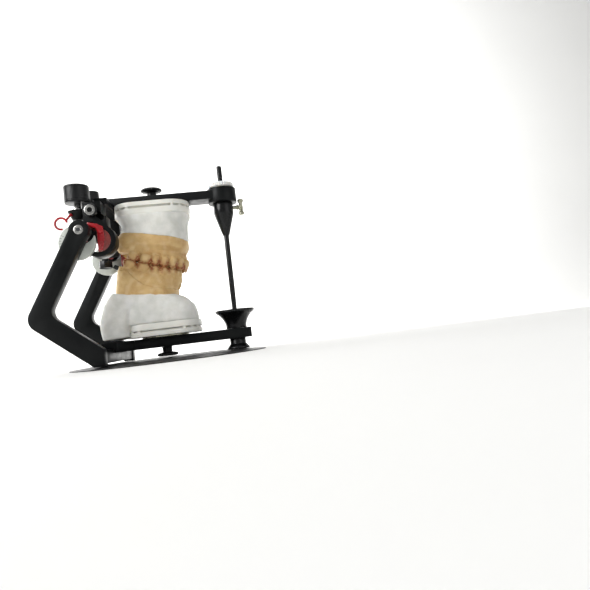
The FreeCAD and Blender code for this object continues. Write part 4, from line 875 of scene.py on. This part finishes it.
@dataclass
class Knobs:
    """Mounting knobs, clamp knobs, side screws, shift knobs and the small centre knob."""

    mount_flutes: int = 24
    mount_flute_mm: float = 0.55
    mount_grip_mm: float = 3.4
    mount_head_mm: float = 9.0
    clamp_grooves: int = 60
    clamp_groove_mm: float = 0.1
    centre_grooves: int = 40
    centre_groove_mm: float = 0.12
    centre_grip_mm: float = 10.7
    centre_stem_mm: float = 1.95

    def build(self) -> None:
        """Build every knob."""
        self.mounting("lower_knob", -1)
        self.mounting("upper_knob", 1)
        self.straight("centre_knob", self.centre_grooves, self.centre_groove_mm)
        for side in Side:
            self.straight(side.node("clamp_knob"), self.clamp_grooves, self.clamp_groove_mm)
            machined(side.node("clamp_stem"), STEEL, 0.2)
            self.side_screw(side)
            machined(side.node("shift_knob"), ACETAL, 0.4)

    def mounting(self, node: str, up: int) -> None:
        """Dished mounting knob on a flared neck, with flutes round its rim.

        Args:
            node: CAD node to stand for.
            up: 1 where the grip is above the bar, -1 where it is below.
        """
        low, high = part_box(node)
        radius = (high.x - low.x) / 2 / MM
        tall = (high.z - low.z) / MM
        grip = tall - self.mount_grip_mm
        neck = tall - self.mount_head_mm
        bm = spun(
            [
                (0, 0), (2.9, 0), (2.9, neck), (4.9, neck + 0.1), (4.6, neck + 1.2),
                (4.4, grip - 0.8), (5.6, grip - 0.3), (radius - 1.8, grip + 0.1),
                (radius - 0.5, grip + 0.6), (radius, grip + 1.1), (radius, tall - 1.2),
                (radius - 0.5, tall - 0.6), (radius - 1.4, tall - 0.2), (radius - 2.6, tall),
                (radius - 4.6, tall - 0.5), (0, tall - 0.7),
            ],
            steps=self.mount_flutes * 8,
        )
        flute(bm, self.mount_flutes, self.mount_flute_mm, radius - 1.0)
        centre = centre_of(node)
        turn = Matrix() if up > 0 else Matrix.Rotation(math.pi, 4, "X")
        put(bm, Vector((centre.x, centre.y, low.z if up > 0 else high.z)), turn)
        finished(bm, f"{node}_fluted", ACETAL, node)

    def straight(self, node: str, grooves: int, depth_mm: float) -> None:
        """Plain cylindrical knob: fine grooves between two smooth bands.

        Args:
            node: CAD node to stand for.
            grooves: Number of grooves round it.
            depth_mm: Depth of the grooves.
        """
        low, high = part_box(node)
        radius = (high.y - low.y) / 2 / MM
        tall = (high.z - low.z) / MM
        stem = tall - self.centre_grip_mm if node == "centre_knob" else 0
        thin = self.centre_stem_mm
        foot = [(0, 0), (thin, 0), (thin, stem)] if stem else [(0, 0)]
        bm = spun(
            [
                *foot, (radius - 0.8, stem), (radius - 0.25, stem + 0.2), (radius, stem + 0.8),
                (radius, stem + 1.6), (radius - 0.3, stem + 1.9), (radius - 0.3, stem + 2.2),
                (radius, stem + 2.5), (radius, tall - 2.4), (radius - 0.3, tall - 2.1),
                (radius - 0.3, tall - 1.8), (radius, tall - 1.5), (radius, tall - 0.8),
                (radius - 0.25, tall - 0.2), (radius - 0.8, tall), (radius - 2.6, tall),
                (radius - 3.2, tall - 0.5), (0, tall - 0.5),
            ],
            steps=grooves * 4,
        )
        flute(bm, grooves, depth_mm, radius - 0.1)
        centre = centre_of(node)
        put(bm, Vector((centre.x, centre.y, low.z)))
        finished(bm, f"{node}_grooved", ACETAL, node)

    def side_screw(self, side: Side) -> None:
        """Side screw: a bright rimmed head with a square socket, on a black shank.

        Args:
            side: Side of the articulator.
        """
        node = side.node("side_screw")
        machined(node, ANODISED_TURNED, 0.25)
        low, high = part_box(node)
        centre = centre_of(node)
        face = low.y if side is Side.RIGHT else high.y
        rim = spun(
            [
                (2.3, -0.4), (4.6, -0.4), (4.6, 0.15), (4.1, 0.3), (2.6, 0.3), (2.3, 0.1),
                (2.3, -0.4),
            ],
            steps=48,
        )
        turn = Matrix.Rotation(-side.value * QUARTER, 4, "X")
        put(rim, Vector((centre.x, face, centre.z)), turn)
        finished(rim, f"{node}_rim", STEEL, node, stands_for=False)


# Condylar guides -----------------------------------------------------------------------------


@dataclass
class CondylarGuides:
    """Housings, red fossa inserts, scale dials, ball retainers and wire levers."""

    graduations: int = 13
    first_deg: float = 150
    step_deg: float = 10
    major_every: int = 3
    minor_mm: float = 1.6
    major_mm: float = 2.8
    line_mm: float = 0.3
    line_depth_mm: float = 0.06
    dial_x: float = -62.5
    dial_z: float = 110.5
    dial_reach_mm: float = 14.6
    rib_span: tuple[float, float, float] = (50.8, 51.95, 53.3)
    rib_roof: tuple[tuple[float, float, float, float], ...] = (
        (-53.2, 124.8, -53.4, 127.8), (-47.6, 122.6, -45, 125.5), (-45.6, 120.4, -40.4, 122.8),
        (-45.5, 117.5, -40.2, 117.7),
    )
    rib_wall: tuple[tuple[float, float, float, float], ...] = (
        (-45.4, 118.8, -40.2, 119), (-45.7, 112, -40.2, 112), (-46.3, 102.6, -42.4, 102.4),
    )

    def build(self) -> None:
        """Build both sides."""
        for side in Side:
            machined(side.node("housing"), ANODISED, 0.35)
            machined(side.node("fossa_insert"), DARKER_RED_ACRYLIC, 0.3)
            self.rib(side)
            machined(side.node("scale_dial"), LACQUER, 0.4)
            machined(side.node("ball_retainer"), PINK_ACRYLIC, 0.25)
            paint(frame["nodes"][side.node("lock_lever")], RED_ACRYLIC)
            self.lines(side)

    def rib(self, side: Side) -> None:
        """Solid red rib along the roof and the front wall of the insert.

        Args:
            side: Side of the articulator.
        """
        root, wall, roof = (side.value * y for y in self.rib_span)
        bm = strip(self.rib_wall, root, wall)
        join(bm, strip(self.rib_roof, root, roof))
        soften(bm, 0.3)
        node = side.node("fossa_insert")
        finished(bm, f"{node}_rib", RED_ACRYLIC, node, stands_for=False)

    def lines(self, side: Side) -> None:
        """Inked graduations near the dial's rim, some of them longer.

        Args:
            side: Side of the articulator.
        """
        low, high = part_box(side.node("scale_dial"))
        centre = Vector((self.dial_x, 0, self.dial_z)) * MM
        face = low.y if side is Side.RIGHT else high.y
        half, deep, outer = self.line_mm / 2, self.line_depth_mm, self.dial_reach_mm
        bm = bmesh.new()
        for i in range(self.graduations):
            long = self.minor_mm if i % self.major_every else self.major_mm
            line = block((-half, -deep, outer - long), (half, deep, outer))
            angle = math.radians(self.first_deg + self.step_deg * i)
            turn = Matrix.Rotation(QUARTER - angle, 4, "Y")
            put(line, Vector((centre.x, face, centre.z)), turn)
            join(bm, line)
        finished(
            bm, side.node("dial_graduations"), INK_AND_SHADE, side.node("scale_dial"),
            stands_for=False,
        )


# Mounting plates -----------------------------------------------------------------------------


@dataclass
class MountingPlates:
    """Split-cast plates with bridged parting gaps, keepers and magnets."""

    half_x: float = 35
    half_y: float = 28
    corner: float = 20
    rim_mm: float = 0.5
    bridge_mm: float = 2.6
    bridge_depth_mm: float = 4
    bridge_inset_mm: float = 0.1
    gap_mm: float = 2.1
    gap_depth_mm: float = 2.8
    step_wall_mm: float = 0.03
    stops: tuple[float, ...] = (-31.5, -27, -20.5, 20.5, 27, 31.5)
    middle_x: float = 0.0
    parting: float = 0.0

    def build(self) -> None:
        """Build the plates of both levels."""
        for level in ("lower", "upper"):
            low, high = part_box(f"{level}_base_plate")
            self.middle_x = (low.x + high.x) / 2 / MM
            self.parting = (high.z if level == "lower" else low.z) / MM
            for kind in ("base", "counter"):
                node = f"{level}_{kind}_plate"
                up = 1 if (level == "lower") == (kind == "base") else -1
                machined(node, ABS, 0.14, carve=partial(self.rebate, up=up))
            machined(f"{level}_holder", NICKEL, 0.2)
            paint(frame["nodes"][f"{level}_magnet"], STEEL)
            self.bridges(level)

    def rebate(self, bm: bmesh.types.BMesh, up: int) -> None:
        """Step the plate's rim back where it meets the other plate.

        Args:
            bm: The plate.
            up: 1 where the other plate is above, -1 where it is below.
        """
        step = (self.parting - up * self.gap_mm / 2) * MM
        for height in (step, step + up * self.step_wall_mm * MM):
            bmesh.ops.bisect_plane(
                bm, geom=bm.verts[:] + bm.edges[:] + bm.faces[:], plane_co=(0, 0, height),
                plane_no=(0, 0, 1), dist=1e-7,
            )
        for vert in bm.verts:
            x, y = vert.co.x / MM - self.middle_x, vert.co.y / MM
            core_x = min(max(x, self.corner - self.half_x), self.half_x - self.corner)
            core_y = min(max(y, self.corner - self.half_y), self.half_y - self.corner)
            out = Vector((x - core_x, y - core_y, 0))
            at_rim = out.length > self.corner - self.rim_mm
            if at_rim and (vert.co.z - step) * up > self.step_wall_mm * MM * 2 / 3:
                vert.co -= out.normalized() * self.gap_depth_mm * MM

    def edge_y(self, x: float) -> float:
        """Half width of the plate's outline at x from its centre."""
        past = abs(x) - (self.half_x - self.corner)
        if past <= 0:
            return self.half_y
        return self.half_y - self.corner + math.sqrt(max(self.corner**2 - past**2, 0))

    def bridges(self, level: str) -> None:
        """Short bridges that break the parting gap into one long slot and short ones.

        Args:
            level: "lower" or "upper".
        """
        half_gap = self.gap_mm / 2
        bm = bmesh.new()
        for x in self.stops:
            reach = self.edge_y(abs(x) + self.bridge_mm / 2) - self.bridge_inset_mm
            left, right = (self.middle_x + x + s * self.bridge_mm / 2 for s in (-1, 1))
            for sign in (-1, 1):
                ends = (sign * reach, sign * (reach - self.bridge_depth_mm))
                near, far = sorted(ends)
                join(bm, block(
                    (left, near, self.parting - half_gap), (right, far, self.parting + half_gap)
                ))
        finished(
            bm, f"{level}_gap_bridges", ABS, f"{level}_base_plate",
            stands_for=False,
        )


# Casts ---------------------------------------------------------------------------------------


class Crown(Enum):
    """Kinds of tooth crown: depth at the neck, depth at the biting end, crown height."""

    INCISOR = (6.4, 2.2, 10.0)
    CANINE = (7.6, 2.8, 10.4)
    PREMOLAR = (8.6, 6.4, 8.2)
    MOLAR = (10.4, 8.6, 7.2)


@dataclass(frozen=True)
class Arch:
    """The line that the crowns stand on, an open superellipse seen from above."""

    rear: float
    front: float
    half: float
    power: float = 2.3

    def points(self, steps: int = 400) -> list[Vector]:
        """Points from the midline round to the rear of the left side, in millimetres."""
        made = []
        for i in range(steps + 1):
            angle = math.pi / 2 * i / steps
            x = self.rear + (self.front - self.rear) * math.cos(angle) ** (2 / self.power)
            made.append(Vector((x, self.half * math.sin(angle) ** (2 / self.power), 0)))
        return made

    def at(self, distance: float) -> tuple[Vector, float]:
        """Point and outward heading at a distance along the arch from the midline.

        Args:
            distance: Millimetres from the midline, on the left side.

        Returns:
            The point and the angle of its outward normal.
        """
        run = 0.0
        line = self.points()
        for a, b in zip(line, line[1:]):
            step = (b - a).length
            if run + step >= distance:
                along = (b - a).normalized()
                return a + along * (distance - run), math.atan2(-along.x, along.y)
            run += step
        return line[-1], math.pi / 2


@dataclass
class StoneCast:
    """A stone cast: a lofted base with a row of crowns fused to it."""

    node: str
    rings: list[Ring]
    arch: Arch
    widths: tuple[float, ...]
    up: int
    overlap_mm: float
    seed: float
    stretch: float
    kinds: tuple[Crown, ...] = (
        Crown.INCISOR, Crown.INCISOR, Crown.CANINE, Crown.PREMOLAR, Crown.PREMOLAR,
        Crown.MOLAR, Crown.MOLAR,
    )
    bite_front: tuple[float, float] = (24.5, 84.3)
    bite_slope: float = 0.256
    bite_length: float = 57.5
    bite_sag: float = 2.4
    voxel_mm: float = 0.5
    ledge: tuple[tuple[float, float], ...] = ()
    lip_mm: float = 1.5
    lip_fade_mm: float = 4.5
    lip_reach_mm: float = 14
    buried_mm: float = 3.0
    seam_out_mm: float = 4.2
    root_mm: tuple[float, float] = (4.6, 7.5)
    root_rise_mm: float = 12.5
    root_inset_mm: float = 0.4
    vault_x: float = -16
    vault_mm: tuple[float, float, float] = (27, 16, 7)
    front_stain: float = 0.0
    lumps_mm: tuple[float, float] = (6.0, 0.45)
    chips_mm: tuple[float, float] = (1.7, 0.14)
    seams: list[Vector] = field(default_factory=list)

    def bite_z(self, x: float) -> float:
        """Height of the occlusal line at x, in millimetres: a slope with a sag."""
        back = self.bite_front[0] - x
        share = min(max(back / self.bite_length, 0), 1)
        sag = self.bite_sag * math.sin(math.pi * share)
        return self.bite_front[1] + back * self.bite_slope - sag

    def crown(self, width: float, kind: Crown) -> bmesh.types.BMesh:
        """One crown about the origin: X outwards, Y along the arch, Z away from the gum.

        Args:
            width: Width along the arch, in millimetres.
            kind: Kind of crown.

        Returns:
            The crown, with its biting end at z = 0.
        """
        neck, tip, tall = kind.value
        tall += self.buried_mm
        lean = 0.28 * (0.4 if kind is Crown.MOLAR else 1)
        bm = bmesh.new()
        bmesh.ops.create_cube(bm, size=1)
        bmesh.ops.subdivide_edges(bm, edges=bm.edges, cuts=7, use_grid_fill=True)
        for vert in bm.verts:
            ball = vert.co.normalized() * 0.5
            p = vert.co.lerp(ball, 0.7)
            share = min(max(p.z + 0.5, 0), 1)
            depth = neck + (tip - neck) * share**1.5
            girth = 1.02 - 0.26 * (1 - share) ** 2
            if kind is Crown.CANINE:
                girth *= 1 - 0.5 * max(share - 0.6, 0)
            x = p.x * depth * 1.15 + (neck - depth) * lean
            y = p.y * width * girth * 1.2
            z = (p.z - 0.5) * tall
            if share > 0.75 and kind in (Crown.PREMOLAR, Crown.MOLAR):
                waves = 2 if kind is Crown.MOLAR else 1
                cusp = abs(math.sin(math.pi * waves * (p.y + 0.5))) * min(abs(p.x) * 3.2, 1)
                z += (cusp - 0.75) * 1.5
            if share > 0.8 and kind is Crown.CANINE:
                z -= abs(p.y) * 2.6
            vert.co = Vector((x, y, z)) * MM
        return bm

    def root(self, width: float) -> bmesh.types.BMesh:
        """Long bulge of the gum over one root."""
        bm = bmesh.new()
        bmesh.ops.create_icosphere(bm, subdivisions=3, radius=1)
        thick, tall = self.root_mm
        bmesh.ops.scale(bm, vec=Vector((thick, width * 0.4, tall)) * MM, verts=bm.verts)
        return bm

    def ledge_z(self, x: float) -> float:
        """Height of the line where the gum meets the trimmed base, at x."""
        points = self.ledge
        for (x0, z0), (x1, z1) in zip(points, points[1:]):
            if x <= x1:
                return z0 + (z1 - z0) * max(x - x0, 0) / (x1 - x0)
        return points[-1][1]

    def undercut(self, bm: bmesh.types.BMesh) -> None:
        """Set the gum back above the trimmed base, with a crisp lower lip."""
        if not self.ledge:
            return
        bm.normal_update()
        for vert in bm.verts:
            if abs(vert.normal.z) > 0.75 or vert.normal.x < -0.7:
                continue
            above = vert.co.z / MM - self.ledge_z(vert.co.x / MM)
            if 0 < above < self.lip_reach_mm:
                fade = math.exp(-above / self.lip_fade_mm) * min(above / 0.7, 1)
                vert.co -= vert.normal * self.lip_mm * fade * MM

    def crowns(self) -> bmesh.types.BMesh:
        """All crowns in their places round the arch."""
        row = bmesh.new()
        tilt = Matrix.Rotation(math.atan(self.bite_slope), 4, "Y")
        flip = Matrix.Rotation(math.pi, 4, "X") if self.up > 0 else Matrix()
        for sign in (-1, 1):
            distance = 0.0
            for i, (width, kind) in enumerate(zip(self.widths, self.kinds)):
                wide = width * self.stretch
                point, heading = self.arch.at(distance + wide / 2)
                seam, faces = self.arch.at(distance + wide)
                seam += Vector((math.cos(faces), math.sin(faces), 0)) * self.seam_out_mm
                self.seams.append(Vector((seam.x, sign * seam.y, 0)))
                distance += wide
                jitter = noise.noise(Vector((self.seed, i * 1.7, sign))) * 0.5
                turn = Matrix.Rotation(sign * heading + jitter * 0.16, 4, "Z")
                deeper = self.overlap_mm * (1 if i < 3 else 0.55)
                lift = self.bite_z(point.x) - self.up * (deeper + jitter * 0.6)
                crown = self.crown(wide, kind)
                place = Vector((point.x + jitter * 0.5, sign * point.y, lift)) * MM
                join(row, put(crown, place, tilt @ turn @ flip))
                root = self.root(wide)
                high = self.bite_z(point.x) + self.up * self.root_rise_mm
                inset = Vector((math.cos(heading), math.sin(heading), 0)) * self.root_inset_mm
                place = Vector((point.x - inset.x, sign * (point.y - inset.y), high)) * MM
                join(row, put(root, place, Matrix.Rotation(sign * heading, 4, "Z")))
        bmesh.ops.recalc_face_normals(row, faces=row.faces)
        return row

    def vault(self, bm: bmesh.types.BMesh) -> None:
        """Hollow the palate or the floor of the mouth inside the arch."""
        long, wide, deep = self.vault_mm
        bm.normal_update()
        for vert in bm.verts:
            if vert.normal.z * self.up > -0.6:
                continue
            x, y = vert.co.x / MM - self.vault_x, vert.co.y / MM
            away = (x / long) ** 2 + (y / wide) ** 2
            gum = abs(vert.co.z / MM - self.bite_z(vert.co.x / MM))
            if away < 1 and gum < 2 * deep:
                vert.co.z += self.up * deep * (1 - away) ** 0.8 * MM

    def stain(self, bm: bmesh.types.BMesh) -> None:
        """Store where the stone is marked brown, as stain and as painted shade along the bite gap
        and between the teeth, and where it is rubbed pale.
        """
        mark = bm.verts.layers.float.new("mark")
        high = bm.verts.layers.float.new("high")
        for vert in bm.verts:
            x, y = vert.co.x / MM, vert.co.y / MM
            off = self.up * (vert.co.z / MM - self.bite_z(x))
            near = min((Vector((x, y, 0)) - seam).length for seam in self.seams)
            # Painted shade: a dark line along the bite gap and dark lines between the teeth; the
            # front term adds a brown patch on the upper cast.
            bite_gap_shade = hump(off, 0, 1.7)
            groove = hump(near, 0, 2.2) * hump(off, 2.0, 4.0)
            front = hump(x, 22, 6) * hump(off, 13, 3.5)
            vert[mark] = min(bite_gap_shade * 0.8 + groove * 1.6 + front * self.front_stain, 1)
            bulge = noise.noise(vert.co / (5 * MM) + Vector((self.seed, 0, 0)))
            vert[high] = max(min(bulge * 0.9, 0.4), 0) * (1 - vert[mark])

    def build(self) -> None:
        """Fuse, smooth and paint the cast."""
        bm = lofted(self.rings)
        join(bm, self.crowns())
        bm = remeshed(bm, self.voxel_mm)
        self.vault(bm)
        relax(bm, 1)
        roughen(bm, *self.lumps_mm, self.seed)
        roughen(bm, *self.chips_mm, self.seed + 9)
        self.undercut(bm)
        self.stain(bm)
        finished(bm, f"{self.node}_stone", STONE, self.node, smooth_deg=180)


@dataclass
class PlasterMount:
    """A hand-wiped plaster mount between a plate and a cast, made of one or more lumps."""

    node: str
    lumps: list[list[Ring]]
    seed: float
    voxel_mm: float = 1.0
    waves_mm: tuple[float, float] = (16, 0.9)
    strokes_mm: tuple[float, float] = (4, 0.3)

    def build(self) -> None:
        """Loft, fuse, round over and roughen the mount."""
        bm = bmesh.new()
        for rings in self.lumps:
            join(bm, lofted(rings))
        bm = remeshed(bm, self.voxel_mm)
        relax(bm, 4)
        roughen(bm, *self.waves_mm, self.seed)
        roughen(bm, *self.strokes_mm, self.seed + 4)
        relax(bm, 1, 0.3)
        finished(bm, f"{self.node}_wiped", PLASTER, self.node, smooth_deg=180)


def upper_cast() -> StoneCast:
    """The upper cast, its crowns hanging from a thick base."""
    rings = [
        Ring(27.4, -33.2, 28.4, 112.0, 122.6),
        Ring(27.6, -38.0, 28.6, 107.4, 118.0),
        Ring(26.8, -39.5, 28.2, 103.4, 113.6, centre=-8),
        Ring(24.0, -38.5, 26.2, 99.2, 110.0, centre=-18),
        Ring(24.4, -37.5, 26.4, 95.8, 107.0, centre=-24, nose=2.3),
        Ring(22.6, -36.0, 24.6, 92.8, 104.6, centre=-30, nose=2.3),
    ]
    widths = (8.6, 6.8, 7.8, 7.2, 7.0, 10.2, 9.8)
    return StoneCast(
        "upper_cast", rings, Arch(-33, 20.6, 23.4), widths, up=1, overlap_mm=2.0, seed=3.1,
        stretch=1.03, front_stain=0.4,
    )


def lower_cast() -> StoneCast:
    """The lower cast, its crowns standing on a ledged base."""
    rings = [
        Ring(18.0, -37.0, 24.4, 77.8, 92.0, centre=-30, nose=2.3),
        Ring(18.0, -39.0, 26.0, 74.0, 88.0, centre=-26, nose=2.3),
        Ring(15.4, -41.0, 26.8, 70.0, 81.5, centre=-18),
        Ring(13.6, -42.5, 27.8, 65.4, 74.0, centre=-8),
        Ring(13.4, -43.0, 28.3, 61.4, 68.6, centre=-6),
        Ring(14.0, -43.0, 28.2, 58.6, 65.2, centre=-6),
    ]
    ledge = ((-30, 87), (-28, 84.5), (-23, 78), (-15, 71.5), (-2, 67), (15, 65), (30, 65))
    widths = (5.4, 5.9, 7.0, 7.2, 7.3, 11.2, 10.4)
    return StoneCast(
        "lower_cast", rings, Arch(-34, 16.8, 22.8), widths, up=-1, overlap_mm=2.4, seed=7.7,
        stretch=1.06, ledge=ledge, root_inset_mm=4.0,
    )


def mounts() -> list[PlasterMount]:
    """The two plaster mounts."""
    upper = [
        Ring(31.4, -36.8, 29.4, 138.0, 138.0, nose=3, tail=5),
        Ring(30.2, -35.0, 29.4, 134.6, 135.0, nose=2.6),
        Ring(28.6, -32.6, 28.8, 128.0, 131.4, nose=2.4),
        Ring(28.0, -31.6, 28.6, 119.0, 127.0, nose=2.3),
        Ring(27.9, -33.0, 28.9, 111.4, 122.0),
    ]
    lower = [
        Ring(29.8, -38.4, 28.4, 35.2, 35.2, nose=4, tail=4, centre=-3),
        Ring(29.6, -38.6, 29.0, 45.0, 45.0, nose=3.8, tail=4.5, centre=-3),
        Ring(27.6, -40.0, 29.2, 50.8, 52.4, nose=3.4, tail=4.5),
        Ring(22.4, -43.0, 29.0, 56.6, 59.6, nose=2.8),
        Ring(16.6, -43.6, 28.6, 60.0, 65.4, nose=2.3),
    ]
    mound = [
        Ring(-31.0, -58.4, 27.2, 24.6, 24.6, nose=8, tail=3.2, centre=-46),
        Ring(-31.0, -59.6, 28.2, 34.0, 34.0, nose=8, tail=3.2, centre=-46),
        Ring(-30.0, -59.8, 28.4, 43.0, 43.0, nose=8, tail=3.2, centre=-44),
        Ring(-26.0, -55.6, 28.4, 56.0, 56.0, nose=8, tail=3.4, centre=-40),
        Ring(-24.0, -46.0, 27.6, 64.0, 66.6, nose=8, tail=4, centre=-36),
    ]
    return [
        PlasterMount("upper_plaster", [upper], 1.3),
        PlasterMount("lower_plaster", [lower, mound], 5.9),
    ]


# Studio --------------------------------------------------------------------------------------


@dataclass
class Studio:
    """Pale floor and backdrop, soft lights and the camera."""

    camera_place: tuple[float, float, float] = (63.4, -517.4, 12.0)
    yaw_deg: float = -6.91
    pitch_deg: float = 4.0
    roll_deg: float = 6.88
    lens_mm: float = 31.94
    sensor_mm: float = 36.0
    lights: tuple[tuple[str, tuple[float, float, float], float, float], ...] = (
        ("key", (-1000, -760, 660), 700, 14),
        ("fill", (900, -900, 260), 900, 2.4),
        ("top", (-60, 120, 1200), 900, 3),
        ("rim", (-620, 560, 420), 500, 4),
    )
    aim_mm: tuple[float, float, float] = (-10, 0, 90)
    wash_mm: tuple[float, float, float] = (0, 250, 900)
    wash_size_mm: float = 1200
    wash_watts: float = 36
    world_strength: float = 0.4
    floor_front: float = -2.0
    wall_y: float = 1.6
    wall_top: float = 2.4
    cove_radius: float = 0.6
    half_width: float = 4.0
    cove_steps: int = 12

    def build(self) -> None:
        """Build the studio."""
        self.backdrop()
        for name, place, size, watts in self.lights:
            self.light(name, Vector(place) * MM, size * MM, watts, Vector(self.aim_mm) * MM)
        wash = Vector(self.wash_mm) * MM
        behind = wash + Vector((0, 1, -0.25))
        self.light("backdrop_wash", wash, self.wash_size_mm * MM, self.wash_watts, behind)
        self.world()
        self.camera()

    def backdrop(self) -> None:
        """A floor that curves up into a wall behind the object."""
        bm = bmesh.new()
        wide, radius = self.half_width, self.cove_radius
        bend = self.wall_y - radius
        line = [Vector((-wide, self.floor_front, 0)), Vector((-wide, bend, 0))]
        for i in range(1, self.cove_steps + 1):
            angle = QUARTER * i / self.cove_steps
            y, z = bend + radius * math.sin(angle), radius * (1 - math.cos(angle))
            line.append(Vector((-wide, y, z)))
        line.append(Vector((-wide, self.wall_y, self.wall_top)))
        verts = [bm.verts.new(p) for p in line]
        edges = [bm.edges.new(pair) for pair in zip(verts, verts[1:])]
        grown = bmesh.ops.extrude_edge_only(bm, edges=edges)["geom"]
        moved = [g for g in grown if isinstance(g, bmesh.types.BMVert)]
        bmesh.ops.translate(bm, vec=(wide * 2, 0, 0), verts=moved)
        bmesh.ops.recalc_face_normals(bm, faces=bm.faces)
        for face in bm.faces:
            face.smooth = True
        mesh = bpy.data.meshes.new("backdrop")
        bm.to_mesh(mesh)
        bm.free()
        obj = bpy.data.objects.new("backdrop", mesh)
        bpy.context.scene.collection.objects.link(obj)
        paint(obj, PAPER)

    def light(self, name: str, place: Vector, size: float, watts: float, aim: Vector) -> None:
        """A square soft box aimed at a point.

        Args:
            name: Name of the light.
            place: Where it stands, in metres.
            size: Side of the square, in metres.
            watts: Power.
            aim: Point that it faces.
        """
        data = bpy.data.lights.new(name, "AREA")
        data.shape = "SQUARE"
        data.size = size
        data.energy = watts
        obj = bpy.data.objects.new(name, data)
        bpy.context.scene.collection.objects.link(obj)
        obj.location = place
        obj.rotation_euler = (aim - place).to_track_quat("-Z", "Y").to_euler()

    def world(self) -> None:
        """An even pale surround."""
        world = bpy.data.worlds.new("studio")
        world.use_nodes = True
        bpy.context.scene.world = world
        shade = world.node_tree.nodes["Background"]
        shade.inputs["Color"].default_value = (1, 1, 1, 1)
        shade.inputs["Strength"].default_value = self.world_strength
        bpy.context.scene.view_settings.view_transform = "Standard"

    def camera(self) -> None:
        """The camera, a little in front of the pin and tipped to the left."""
        data = bpy.data.cameras.new("camera")
        data.lens = self.lens_mm
        data.sensor_width = self.sensor_mm
        data.clip_start = 0.01
        obj = bpy.data.objects.new("camera", data)
        bpy.context.scene.collection.objects.link(obj)
        yaw = Matrix.Rotation(math.radians(self.yaw_deg), 3, "Z")
        pitch = Matrix.Rotation(math.radians(self.pitch_deg), 3, "X")
        roll = Matrix.Rotation(math.radians(self.roll_deg), 3, "Y")
        stand = Matrix.Rotation(QUARTER, 3, "X")
        turn = (yaw @ pitch @ roll @ stand).to_4x4()
        obj.matrix_world = Matrix.Translation(Vector(self.camera_place) * MM) @ turn
        bpy.context.scene.camera = obj


def main() -> None:
    """Build the pieces in order."""
    logging.basicConfig(level=logging.INFO, format="%(message)s")
    Studio().build()
    Frame().build()
    PinAndTable().build()
    Knobs().build()
    CondylarGuides().build()
    MountingPlates().build()
    upper_cast().build()
    lower_cast().build()
    for mount in mounts():
        mount.build()


if __name__ == "__main__":
    main()
